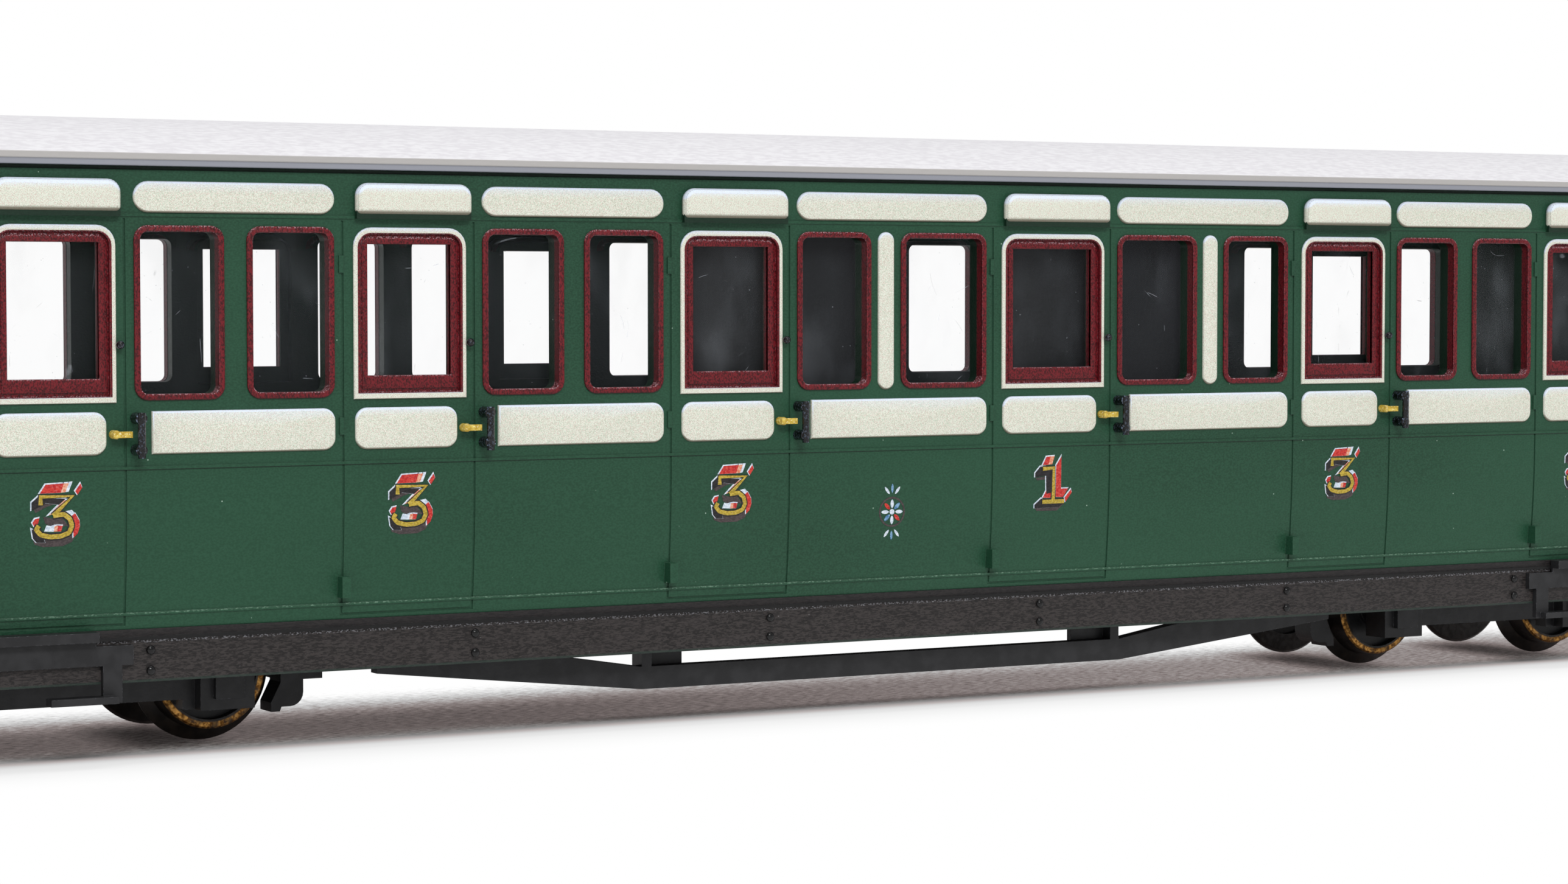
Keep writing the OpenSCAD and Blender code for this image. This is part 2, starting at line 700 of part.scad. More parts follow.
handle_proud = 0.7;
handle_xs = [-0.85, 0.15];
handle_h = 0.32;
handle_t = 0.3;
spindle_x = -0.65;
spindle_r = 0.22;
module door_handles(doors) {
    z = waist_z + 1.8;
    color("gold") for (d = doors) translate([d[1], -half_w, z]) {
        translate([spindle_x, 0, 0]) rod_y(spindle_r, -handle_proud + handle_t / 2, 0);
        block(handle_xs[0], handle_xs[1], -handle_proud, -handle_proud + handle_t,
              -handle_h / 2, handle_h / 2);
    }
}
module door_handles_near() door_handles(near_doors);
module door_handles_far() rotate([0, 0, 180]) door_handles(far_doors);

knob_x = 0.35;
knob_r = 0.22;
knob_proud = 0.35;
module grab_knobs(doors) {
    color("black") for (d = doors) translate([d[1] - knob_x, -half_w, window_z + 2.8]) {
        rod_y(knob_r / 2, -knob_proud, 0);
        translate([0, -knob_proud, 0]) sphere(r = knob_r);
    }
}
module grab_knobs_near() grab_knobs(near_doors);
module grab_knobs_far() rotate([0, 0, 180]) grab_knobs(far_doors);

// ---- fittings on the ends, as at the front end ----

tread_low_z = sill_z + 2.4;
tread_spacing = 4.6;
end_tread_y = 8.25;
end_tread_w = 2;
end_tread_t = 0.3;
end_tread_proud = 0.8;
grab_rail_y = 9.5;
grab_rail_z = window_z - 1.5;
grab_rail_h = 7;
grab_rail_r = 0.2;
grab_rail_proud = 0.7;
module end_steps() {
    // four treads up one side of the end, and a grab rail
    color("dimgray") {
        for (i = [0:3]) let (z = tread_low_z + tread_spacing * i)
            block(end_x, end_x + end_tread_proud, end_tread_y, end_tread_y + end_tread_w,
                  z, z + end_tread_t);
        translate([end_x + grab_rail_proud, -grab_rail_y, grab_rail_z])
            cylinder(r = grab_rail_r, h = grab_rail_h);
        for (z = [2 * grab_rail_r, grab_rail_h - 2 * grab_rail_r])
            translate([end_x, -grab_rail_y, grab_rail_z + z]) rotate([0, 90, 0])
                cylinder(r = grab_rail_r, h = grab_rail_proud);
    }
}
module end_steps_front() end_steps();
module end_steps_rear() rotate([0, 0, 180]) end_steps();

lamp_iron_half = 0.4;
lamp_iron_proud = 0.7;
lamp_iron_t = 0.3;
lamp_iron_y = half_w - 6.5;
lamp_iron_h = 1.2;
module lamp_irons() {
    z = waist_z + 2;
    color("black") for (y = [-lamp_iron_y, lamp_iron_y]) {
        block(end_x, end_x + lamp_iron_proud, y - lamp_iron_half, y + lamp_iron_half,
              z, z + lamp_iron_t);
        block(end_x + lamp_iron_proud - lamp_iron_t, end_x + lamp_iron_proud,
              y - lamp_iron_half, y + lamp_iron_half, z + lamp_iron_t - eps, z + lamp_iron_h);
    }
}
module lamp_irons_front() lamp_irons();
module lamp_irons_rear() rotate([0, 0, 180]) lamp_irons();

// Upright brake pipe with its bend and hose
pipe_y = solebar_half - 3.75;
pipe_r = 0.35;
pipe_proud = 0.75;
pipe_low_z = solebar_z + 0.6;
pipe_h = 5.6;
hose_h = 2;
bend_r = 0.8;
stay_z = solebar_z + 1.5;
stay_r = 0.25;
module vacuum_pipe() {
    color("black") translate([end_x + pipe_proud, -pipe_y, 0]) {
        translate([0, 0, pipe_low_z]) cylinder(r = pipe_r, h = pipe_h);
        translate([bend_r, 0, pipe_low_z + pipe_h]) rotate([90, 0, 0])
            rotate_extrude(angle = 180) translate([bend_r, 0]) circle(r = pipe_r);
        translate([2 * bend_r, 0, pipe_low_z + pipe_h - hose_h]) cylinder(r = pipe_r, h = hose_h);
        translate([-pipe_proud, 0, stay_z]) rotate([0, 90, 0])
            cylinder(r = stay_r, h = pipe_proud);
    }
}
module vacuum_pipe_front() vacuum_pipe();
module vacuum_pipe_rear() rotate([0, 0, 180]) vacuum_pipe();

// ---- bogies, drawn about their pivot with the outer end towards +X ----

top_bar_h = 1;
outer_bar_x = wheelbase / 2 + 3.1;
outer_beam_z = solebar_z - 0.2;
cap_half = 0.8;
cap_proud = 0.4;
cap_rise = 0.6;
module bogie_side() {
    y0 = side_frame_y;
    y1 = y0 + side_frame_t;
    bar_z = frame_top_z - top_bar_h;
    box_in = wheelbase / 2 - axlebox_half;
    box_out = wheelbase / 2 + axlebox_half;
    inner_x = end_beam_x + inner_beam_t;
    outer_x = end_beam_x + outer_beam_t;
    difference() {
        union() {
            // plate between the axles, dropped round each axlebox; the outer end passes
            // under the headstock when the bogie turns
            side_plate(y0, side_frame_t, [[
                [-inner_x, frame_top_z], [-inner_x, bar_z], [-box_out, bar_z],
                [-box_out, axlebox_z], [-box_in + pedestal_w, axlebox_z],
                [-box_in + pedestal_w, frame_low_z], [box_in - pedestal_w, frame_low_z],
                [box_in - pedestal_w, axlebox_z], [box_out, axlebox_z], [box_out, frame_low_z],
                [outer_x, frame_low_z], [outer_x, outer_beam_z], [outer_bar_x, outer_beam_z],
                [outer_bar_x, frame_top_z]]]);
            // axleboxes, each with a raised cap
            for (s = [-1, 1]) {
                block(s * wheelbase / 2 - axlebox_half, s * wheelbase / 2 + axlebox_half,
                      -y1 - axlebox_proud, -y0, axlebox_z, bar_z + 0.1);
                block(s * wheelbase / 2 - cap_half, s * wheelbase / 2 + cap_half,
                      -y1 - axlebox_proud - cap_proud, -y1, axlebox_z + cap_rise, bar_z);
            }
        }
        for (s = [-1, 1]) translate([s * wheelbase / 2, 0, axle_z])
            rod_y(bearing_r, -bearing_y, -y0 + 1);
    }
}

// Brake guard beyond a wheel: a rounded plate whose foot follows the wheel
guard_t = 1.6;
guard_z = 1.67;
guard_r = 0.75;
guard_top_z = 3;
foot_h = 0.25;
foot_gap = 0.35;
foot_w = 0.5;
guard_outer_y = wheel_face - 0.2;
module guard(beam_t, top_z) {
    x = end_beam_x + beam_t;
    foot_x = end_beam_x - foot_gap - 0.2;
    outline = concat(
        [[foot_x, guard_z + foot_h], [foot_x, guard_z - foot_h], [foot_x + foot_w, guard_z - foot_h],
         [foot_x + foot_w + 0.1, guard_z]],
        arc(x - guard_r, guard_z + guard_r, guard_r, -90, 0),
        [[x, top_z], [end_beam_x, top_z], [end_beam_x, guard_top_z]]);
    for (y = [guard_t - guard_outer_y, guard_outer_y])
        translate([0, y, 0]) rotate([90, 0, 0]) linear_extrude(guard_t) polygon(outline);
}

tail_x = end_beam_x + 2.4;
tail_z = 3.1;
tail_t = 0.4;
arm_end_x = loop_pin_x - 1.2;
module bogie_frame(turn) {
    half_y = side_frame_y + eps;
    color("dimgray") rotate([0, 0, turn]) translate([bogie_x, 0, 0]) difference() {
        union() {
            for (far = [0, 1]) mirror([0, far, 0]) bogie_side();
            // bolster
            block(-bolster_half, bolster_half, -half_y, half_y, bolster_z, bolster_top_z);
            // inner end beam with its tail plate, and the low outer end beam
            block(-end_beam_x - inner_beam_t, -end_beam_x, -half_y, half_y,
                  frame_top_z - top_bar_h, frame_top_z);
            block(-end_beam_x - inner_beam_t, -end_beam_x, -guard_outer_y, guard_outer_y,
                  tail_z, frame_top_z);
            block(-tail_x, -end_beam_x, -guard_outer_y, guard_outer_y, tail_z, tail_z + tail_t);
            block(end_beam_x, end_beam_x + outer_beam_t, -half_y, half_y,
                  frame_low_z, outer_beam_z);
            guard(outer_beam_t, outer_beam_z);
            mirror([1, 0, 0]) guard(inner_beam_t, frame_top_z);
            // arm that carries the coupling
            block(end_beam_x, arm_end_x - bogie_x, -shank_half, shank_half,
                  coupling_z, coupling_z + shank_t);
        }
        translate([0, 0, bolster_z - 1])
            cylinder(r = pivot_r + running_gap, h = bolster_top_z - bolster_z + 2);
    }
}
module bogie_frame_front() bogie_frame(0);
module bogie_frame_rear() bogie_frame(180);

slot_w = 0.4;
slot_d = 0.25;
module pivot_screw(s) {
    head_z = bolster_z - running_gap - screw_head_h;
    color("silver") translate([s * bogie_x, 0, 0]) {
        translate([0, 0, bolster_z - running_gap - eps])
            cylinder(r = pivot_r, h = floor_z + floor_t - bolster_z + running_gap + eps);
        difference() {
            translate([0, 0, head_z]) cylinder(r = screw_head_r, h = screw_head_h);
            block(-slot_w / 2, slot_w / 2, -screw_head_r - 1, screw_head_r + 1,
                  head_z - 1, head_z + slot_d);
        }
    }
}
module pivot_screw_front() pivot_screw(1);
module pivot_screw_rear() pivot_screw(-1);

module pivot_washer(s) {
    color("goldenrod") translate([s * bogie_x, 0, washer_top_z - washer_t]) difference() {
        cylinder(r = boss_r - 0.1, h = washer_t);
        translate([0, 0, -1]) cylinder(r = pivot_hole_r, h = washer_t + 2);
    }
}
module pivot_washer_front() pivot_washer(1);
module pivot_washer_rear() pivot_washer(-1);

bearing_end_t = 0.2;
module bearing_set(x) {
    color("goldenrod") for (k = [-1, 1]) for (turn = [0, 180])
        translate([x + k * wheelbase / 2, 0, axle_z]) rotate([0, 0, turn]) difference() {
            rod_y(bearing_r - 0.01, -bearing_y, -side_frame_y);
            rod_y(journal_r + running_gap, -bearing_y + bearing_end_t, -side_frame_y + 1);
        }
}
module bearings_front() bearing_set(bogie_x);
module bearings_rear() bearing_set(-bogie_x);

// ---- wheelsets, numbered from the rear ----

axle_xs = [for (b = [-bogie_x, bogie_x]) for (k = [-1, 1]) b + k * wheelbase / 2];
journal_end = bearing_y - bearing_end_t - 0.1;
axle_end = side_frame_y - 0.15;

module axle(x) {
    color("silver") translate([x, 0, axle_z]) {
        rod_y(axle_r, -axle_end, axle_end);
        rod_y(journal_r, -journal_end, journal_end);
    }
}
hub_r = 1.3;
hub_recess = 0.2;
disc_recess = 0.55;
disc_back = 0.3;
module wheel_discs(x) {
    color("black") translate([x, 0, axle_z]) for (turn = [0, 180]) rotate([0, 0, turn])
        difference() {
            union() {
                rod_y(disc_r, -wheel_face + disc_recess, -wheel_back - disc_back);
                rod_y(hub_r, -wheel_face + hub_recess, -wheel_back);
            }
            rod_y(axle_r, -wheel_face - 1, -wheel_back + 1);
        }
}
flange_w = 0.65;
flange_edge = 0.15;
cone = 0.1;
module tyres(x) {
    color("darkgoldenrod") translate([x, 0, axle_z]) for (turn = [90, -90]) rotate([turn, 0, 0])
        rotate_extrude($fn = 96) polygon([
            [disc_r, wheel_back], [wheel_r - flange_edge, wheel_back],
            [wheel_r, wheel_back + flange_edge], [wheel_r, wheel_back + 2 * flange_edge],
            [tread_r + cone, wheel_back + flange_w], [tread_r, wheel_face - cone],
            [tread_r - cone, wheel_face], [disc_r, wheel_face]]);
}
module axle_1() axle(axle_xs[0]);
module axle_2() axle(axle_xs[1]);
module axle_3() axle(axle_xs[2]);
module axle_4() axle(axle_xs[3]);
module wheel_discs_1() wheel_discs(axle_xs[0]);
module wheel_discs_2() wheel_discs(axle_xs[1]);
module wheel_discs_3() wheel_discs(axle_xs[2]);
module wheel_discs_4() wheel_discs(axle_xs[3]);
module tyres_1() tyres(axle_xs[0]);
module tyres_2() tyres(axle_xs[1]);
module tyres_3() tyres(axle_xs[2]);
module tyres_4() tyres(axle_xs[3]);

// ---- couplings, as at the front end ----

lug_t = 1.2;
lug_over_pin = 0.6;
plate_t = 0.6;
plate_h = 2.2;
hook_half = 0.3;
hook_t = 0.8;
hook_h = 3;
hook_tip_t = 0.5;
hook_tip = 0.4;
module coupling_hook() {
    color("black") difference() {
        union() {
            block(arm_end_x, hook_face_x - plate_t + eps, -shank_half, shank_half,
                  coupling_z, coupling_z + shank_t);
            // lug for the loop's pin
            block(loop_pin_x - lug_t / 2, loop_pin_x + lug_t / 2, -lug_half, lug_half,
                  coupling_z, loop_pin_z + lug_over_pin);
            // buffing plate
            block(hook_face_x - plate_t, hook_face_x, -buffing_w / 2, buffing_w / 2,
                  coupling_z, coupling_z + plate_h);
            // upright hook behind the plate
            block(hook_face_x - plate_t - hook_t + eps, hook_face_x - plate_t + eps,
                  -hook_half, hook_half, coupling_z, coupling_z + hook_h);
            block(hook_face_x - plate_t - hook_t + eps, hook_face_x + hook_tip,
                  -hook_half, hook_half, coupling_z + hook_h - hook_tip_t, coupling_z + hook_h);
        }
        translate([loop_pin_x, 0, loop_pin_z]) rod_y(loop_pin_r + eps, -lug_half - 1, lug_half + 1);
    }
}
module coupling_hook_front() coupling_hook();
module coupling_hook_rear() rotate([0, 0, 180]) coupling_hook();

loop_eye_wall = 0.35;
module coupling_loop() {
    front_x = hook_face_x + loop_reach;
    color("black") difference() {
        union() {
            for (y = [-loop_half - loop_wire, loop_half])
                block(loop_pin_x, front_x, y, y + loop_wire,
                      loop_pin_z - loop_wire / 2, loop_pin_z + loop_wire / 2);
            for (y = [-loop_half - loop_wire, loop_half]) translate([loop_pin_x, 0, loop_pin_z])
                rod_y(loop_pin_r + loop_eye_wall, y, y + loop_wire);
            block(front_x - loop_wire, front_x, -loop_half - loop_wire, loop_half + loop_wire,
                  loop_pin_z - loop_wire / 2, loop_pin_z + loop_wire / 2);
        }
        translate([loop_pin_x, 0, loop_pin_z])
            rod_y(loop_pin_r + running_gap, -loop_half - 2 * loop_wire, loop_half + 2 * loop_wire);
    }
}
module coupling_loop_front() coupling_loop();
module coupling_loop_rear() rotate([0, 0, 180]) coupling_loop();

pin_head_r = 0.25;
pin_head_t = 0.2;
module loop_pin() {
    reach = loop_half + loop_wire + 0.3;
    color("silver") translate([loop_pin_x, 0, loop_pin_z]) {
        rod_y(loop_pin_r, -reach, reach);
        rod_y(loop_pin_r + pin_head_r, -reach, -reach + pin_head_t);
        rod_y(loop_pin_r + pin_head_r, reach - pin_head_t, reach);
    }
}
module loop_pin_front() loop_pin();
module loop_pin_rear() rotate([0, 0, 180]) loop_pin();

body_shell();
roof();
glazing_near();
glazing_far();
interior_seats();
partition_rear();
partition_front();
ballast_plate();
underframe();
truss_near();
truss_far();
step_rear_near();
step_rear_far();
step_front_near();
step_front_far();
handrails_near();
handrails_far();
door_handles_near();
door_handles_far();
grab_knobs_near();
grab_knobs_far();
end_steps_rear();
end_steps_front();
vacuum_pipe_rear();
vacuum_pipe_front();
lamp_irons_rear();
lamp_irons_front();
bogie_frame_rear();
bogie_frame_front();
pivot_screw_rear();
pivot_screw_front();
pivot_washer_rear();
pivot_washer_front();
bearings_rear();
bearings_front();
axle_1();
axle_2();
axle_3();
axle_4();
wheel_discs_1();
wheel_discs_2();
wheel_discs_3();
wheel_discs_4();
tyres_1();
tyres_2();
tyres_3();
tyres_4();
coupling_hook_rear();
coupling_hook_front();
coupling_loop_rear();
coupling_loop_front();
loop_pin_rear();
loop_pin_front();
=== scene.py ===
"""Looks of the narrow-gauge passenger coach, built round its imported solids."""
import math

import bpy
import bmesh
from mathutils import Matrix, Vector


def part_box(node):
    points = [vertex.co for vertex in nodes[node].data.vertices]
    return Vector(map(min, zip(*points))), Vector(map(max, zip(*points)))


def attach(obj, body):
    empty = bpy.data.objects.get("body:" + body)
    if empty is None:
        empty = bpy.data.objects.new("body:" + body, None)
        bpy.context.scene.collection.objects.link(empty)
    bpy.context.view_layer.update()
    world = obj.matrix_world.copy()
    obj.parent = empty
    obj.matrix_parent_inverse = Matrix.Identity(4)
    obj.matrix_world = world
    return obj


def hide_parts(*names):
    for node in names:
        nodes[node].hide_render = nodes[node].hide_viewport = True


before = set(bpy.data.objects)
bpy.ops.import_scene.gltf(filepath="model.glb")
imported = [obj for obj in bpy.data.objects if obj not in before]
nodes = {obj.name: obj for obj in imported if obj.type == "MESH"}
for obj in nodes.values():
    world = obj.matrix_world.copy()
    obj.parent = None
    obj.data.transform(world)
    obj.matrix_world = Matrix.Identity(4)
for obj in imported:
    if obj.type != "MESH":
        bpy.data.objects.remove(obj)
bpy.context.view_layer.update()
MM = 0.001


# ---------------------------------------------------------------- sizes in millimetres

def box_mm(node):
    low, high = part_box(node)
    return low / MM, high / MM


shell_low, shell_high = box_mm("body_shell")
roof_low, roof_high = box_mm("roof")
frame_low, frame_high = box_mm("underframe")

END_X = frame_high.x
SILL_Z = shell_low.z
HOOD_PROUD = 0.5
HALF_W = shell_high.y - HOOD_PROUD
TUMBLEHOME = 0.45
WAIST_Z = SILL_Z + 8.1
WINDOW_Z = WAIST_Z + 3.5
WINDOW_TOP = WINDOW_Z + 8.8
RIM_Z = roof_low.z
LEDGE_Z = SILL_Z - 0.55
SOLEBAR_Z = frame_low.z
SOLEBAR_HALF = HALF_W - TUMBLEHOME + 0.1

CLASSES = (3, 3, 3, 1, 3, 3)
DOOR_W = {3: 7.45, 1: 8.18}
WINDOW_W = {3: 4.75, 1: 5.7}
WINDOW_R = 0.7
DOOR_GAP = 0.5
PILLAR_W = 1.25
WIDE_PILLAR_W = 2.0
CORNER_POST_W = 0.95
FRAME_W = 0.28
PANEL_PROUD = 0.12
PANEL_R = 0.6
WAIST_PANEL = (WAIST_Z + 0.8, WAIST_Z + 2.9)
TOP_PANEL = (WINDOW_TOP + 0.7, WINDOW_TOP + 2.2)
HOOD = (TOP_PANEL[0] + 0.2, TOP_PANEL[0] + 1.55)
DOOR_PANEL = (0.7, 1.05)
HOOD_INSET = (0.7, 0.35)
HANDRAIL_SPACE = 1.4
PILLAR_PANEL_HALF = 0.475
DOOR_FRAME = (0.6, 0.5)
DOOR_WINDOW_Z = WINDOW_Z - 0.1
STILE_W = 0.52
TOP_RAIL = 0.55
BOTTOM_RAIL = 0.9
LIGHT_RECESS = 0.1
LIP = 0.1
CAP = 0.02
SOFT_CAP = 0.04
SOFT_EDGE = 0.12
HOOD_CAP = (0.07, 0.1)
HOOD_EDGE = 0.28
HOOD_DROP = 0.14
TYRE_FACE = box_mm("tyres_1")[1].y
AXLES = [sum(box_mm(f"axle_{n}")[0:2], Vector()) / 2 for n in (3, 4)]
BOGIE_X = (AXLES[0].x + AXLES[1].x) / 2
HALF_WHEELBASE = abs(AXLES[1].x - AXLES[0].x) / 2
AXLE_Z = AXLES[0].z
WORN_RING = (2.64, 2.72)
RIVET_PITCH = 18.0
RIVET_D = 0.42
RIVET_MARGINS = (0.58, 0.53)
RIVET_CAP = 0.03
RIVET_COLUMNS = 6
SILL_GLINT = (SILL_Z + 0.75, SILL_Z + 0.8, SILL_Z + 0.84, SILL_Z + 0.88)
JAMB_DEPTH = 0.45
LIGHT_STEP = 0.2
PANEL_BACK = 0.14
INTO_WALL = 0.02
FRAME_BEVEL = 0.06
INK_T = 0.012
INK_LIFT = 0.002
INK_STEP = 0.003
RIVET_SEAT = 0.08


def near_doors():
    """Left edge, right edge and class of each door on the near side, rear to front."""
    doors = []
    x = -END_X + CORNER_POST_W + WINDOW_W[CLASSES[0]] + DOOR_GAP
    for i, cls in enumerate(CLASSES):
        doors.append((x, x + DOOR_W[cls], cls))
        if i + 1 < len(CLASSES):
            pillar = PILLAR_W if cls == CLASSES[i + 1] else WIDE_PILLAR_W
            x += DOOR_W[cls] + 2 * DOOR_GAP + WINDOW_W[cls] + WINDOW_W[CLASSES[i + 1]] + pillar
    return doors


NEAR = near_doors()
FAR = [(-right, -left, cls) for left, right, cls in reversed(NEAR)]
SIDES = (("near", NEAR, 1), ("far", FAR, -1))


def side_half(z):
    """Half width of the side at a height."""
    return HALF_W - TUMBLEHOME * (max(WAIST_Z - z, 0) / (WAIST_Z - SILL_Z)) ** 2


# ---------------------------------------------------------------- materials

def srgb(red, green, blue):
    """A colour as it looks on a screen, 0 to 255, made linear."""
    return tuple((c / 255 / 12.92 if c <= 10 else ((c / 255 + 0.055) / 1.055) ** 2.4)
                 for c in (red, green, blue)) + (1.0,)


class Value:
    """A socket in a material. Python's operators on it add Math nodes."""

    def __init__(self, finish, socket):
        self.finish = finish
        self.socket = socket

    def math(self, operation, *values):
        return self.finish.add("Math", {"operation": operation}, dict(enumerate(values)))

    def __add__(self, other):
        return self.math("ADD", self, other)

    def __sub__(self, other):
        return self.math("SUBTRACT", self, other)

    def __rsub__(self, other):
        return self.math("SUBTRACT", other, self)

    def __mul__(self, other):
        return self.math("MULTIPLY", self, other)

    def __pow__(self, other):
        return self.math("POWER", self, other)

    __radd__ = __add__
    __rmul__ = __mul__


class Finish:
    """One material: a Principled shader, and the coordinates of the part in millimetres."""

    def __init__(self, name, colour, roughness, metallic=0.0, **constants):
        self.material = bpy.data.materials.new(name)
        self.material.use_nodes = True
        self.tree = self.material.node_tree
        self.tree.nodes.clear()
        self.shader = self.tree.nodes.new("ShaderNodeBsdfPrincipled")
        self.output = self.tree.nodes.new("ShaderNodeOutputMaterial")
        self.tree.links.new(self.shader.outputs[0], self.output.inputs[0])
        coords = self.add("TexCoord", output="Object")
        self.place = self.add("VectorMath", {"operation": "SCALE"}, {0: coords, "Scale": 1 / MM})
        self.set("Base Color", colour)
        self.set("Roughness", roughness)
        self.set("Metallic", metallic)
        for socket, value in constants.items():
            self.set(socket.replace("_", " ").title().replace("Ior", "IOR"), value)

    def add(self, kind, settings=None, sockets=None, output=0):
        node = self.tree.nodes.new("ShaderNode" + kind)
        for key, value in (settings or {}).items():
            setattr(node, key, value)
        for key, value in (sockets or {}).items():
            self.put(node.inputs[key], value)
        return Value(self, node.outputs[output])

    def put(self, socket, value):
        if isinstance(value, Value):
            self.tree.links.new(value.socket, socket)
        else:
            socket.default_value = value

    def set(self, socket, value):
        self.put(self.shader.inputs[socket], value)

    def noise(self, size, stretch=(1, 1, 1), detail=2.0, roughness=0.5):
        """Noise of 0 to 1 whose spots are about size millimetres across, longer where stretched."""
        scaled = self.add("VectorMath", {"operation": "MULTIPLY"},
                          {0: self.place, 1: tuple(1 / size / s for s in stretch)})
        return self.add("TexNoise", sockets={"Vector": scaled, "Scale": 1.0, "Detail": detail,
                                             "Roughness": roughness})

    def dots(self, spacing):
        """Distance from the nearest of many scattered points, as a share of their spacing."""
        return self.add("TexVoronoi", sockets={"Vector": self.place, "Scale": 1 / spacing})

    def mask(self, value, low, high):
        """0 below low, 1 above high, smooth between; turned round where low is above high."""
        return self.add("MapRange", {"interpolation_type": "SMOOTHSTEP"},
                        {"Value": value, "From Min": low, "From Max": high})

    def mix(self, share, first, second):
        return self.add("Mix", {"data_type": "RGBA"}, {0: share, 6: first, 7: second}, output=2)

    def axis(self, name):
        return self.add("SeparateXYZ", sockets={0: self.place}, output=name)

    def size_of(self, value):
        return self.add("Math", {"operation": "ABSOLUTE"}, {0: value})

    def lean(self, name, radius=0.0):
        """How far a face, its edges softened to radius, looks along an axis, from -1 to 1."""
        normal = self.soft_normal(radius) if radius else self.add("NewGeometry", output="Normal")
        return self.add("SeparateXYZ", sockets={0: normal}, output=name)

    def soft_normal(self, radius):
        return self.add("Bevel", {"samples": 4}, {"Radius": radius * MM})

    def edges(self, radius, low=0.02, high=0.25):
        """1 along the edges of a piece, to about radius millimetres from them."""
        normal = self.add("NewGeometry", output="Normal")
        agreement = self.add("VectorMath", {"operation": "DOT_PRODUCT"},
                             {0: self.soft_normal(radius), 1: normal}, output="Value")
        return self.mask(1 - agreement, low, high)

    def relief(self, height, distance, strength=1.0, soft=0.0):
        """Bump of the given distance in millimetres, with edges softened to the soft radius."""
        sockets = {"Height": height, "Distance": distance * MM, "Strength": strength}
        if soft:
            sockets["Normal"] = self.soft_normal(soft)
        self.set("Normal", self.add("Bump", sockets=sockets))


def painted_green():
    """Satin green of the sides and ends: leathery grain, fine dust, painted sill glints, painted
    shade.
    """
    f = Finish("painted_green", srgb(30, 70, 49), 0.42, specular_ior_level=0.28)
    tone = f.mix(f.mask(f.noise(9, (3, 1, 1)), 0.3, 0.7), srgb(25, 61, 42), srgb(31, 71, 50))
    grain = f.mask(f.noise(0.09, (1.4, 1, 1), 3), 0.35, 0.65)
    tone = f.mix(grain * 0.6, tone, srgb(42, 84, 62))
    across = f.size_of(f.axis("Y"))
    height = f.axis("Z")
    # painted shade: darker green on the window jambs and inner faces, and on the skirt under each
    # hood
    jamb_shade = f.mask(across, HALF_W - 0.1, HALF_W - 0.2) * f.mask(height, WINDOW_Z - 1, WINDOW_Z - 0.5)
    jamb_shade = jamb_shade * f.mask(f.size_of(f.axis("X")), END_X - 0.6, END_X - 0.9)
    hood_skirt_shade = f.mask(across, HALF_W + 0.15, HALF_W + 0.2)
    hood_skirt_shade = hood_skirt_shade * f.mask(height, WINDOW_TOP, WINDOW_TOP + 0.4)
    tone = f.mix(jamb_shade.math("MAXIMUM", jamb_shade, hood_skirt_shade) * 0.75, tone, srgb(10, 28, 18))
    # painted shade: a dark line along the foot of the waist bead
    bead_shade = f.mask(height, WAIST_Z - 0.06, WAIST_Z - 0.03)
    bead_shade = bead_shade * f.mask(height, WAIST_Z + 0.03, WAIST_Z)
    tone = f.mix(bead_shade * 0.6, tone, srgb(12, 30, 20))
    # painted glints: pale specks along the sill bead, and faintly on every edge
    sill_bead = f.mask(height, *SILL_GLINT[:2]) * f.mask(height, SILL_GLINT[3], SILL_GLINT[2])
    glint = (f.mask(f.noise(0.07, (2, 1, 1)), 0.5, 0.62) * 0.3 + 0.04) * sill_bead
    tone = f.mix(glint + f.edges(0.05) * 0.04, tone, srgb(160, 195, 172))
    dust = f.mask(f.dots(1.1), 0.045, 0.02) * f.mask(f.noise(3.1), 0.5, 0.54)
    f.set("Base Color", f.mix(dust * 0.75, tone, srgb(180, 205, 188)))
    f.set("Roughness", f.mask(f.noise(0.3, (2, 1, 1)), 0.0, 1.0) * 0.16 + 0.36)
    f.relief(f.noise(0.11, (1.4, 1, 1), 3), 0.03, 0.6, soft=0.05)
    return f.material


def printed_cream():
    """Cream print of fine dots; painted bluish highlight on upward faces, painted brown shade
    below.
    """
    f = Finish("printed_cream", srgb(213, 213, 198), 0.5, specular_ior_level=0.3)
    grain = f.noise(0.036, (1, 1, 1), 0)
    tone = f.mix(f.mask(grain, 0.36, 0.5), srgb(204, 205, 189), srgb(232, 234, 221))
    pink = f.mask(f.noise(0.044, (1, 1, 1.1), 0), 0.58, 0.66)
    tone = f.mix(pink * 0.5, tone, srgb(206, 160, 156))
    shift = f.add("VectorMath", {"operation": "ADD"}, {0: f.place, 1: (17.3, 5.1, 9.7)})
    green = f.add("TexNoise", sockets={"Vector": shift, "Scale": 24.0, "Detail": 0.0})
    tone = f.mix(f.mask(green, 0.58, 0.66) * 0.4, tone, srgb(150, 184, 156))
    up = f.lean("Z")
    speckle = f.mask(f.noise(0.06), 0.36, 0.6) * 0.5 + 0.5
    # painted highlight: speckled bluish white on faces that look upward
    tone = f.mix(f.mask(up, 0.03, 0.25) * speckle, tone, srgb(224, 235, 255))
    # painted shade: brown on faces that look downward
    tone = f.mix(f.mask(up, -0.15, -0.6) * 0.8, tone, srgb(96, 86, 66))
    f.set("Base Color", tone)
    f.relief(grain, 0.008, 0.6)
    return f.material


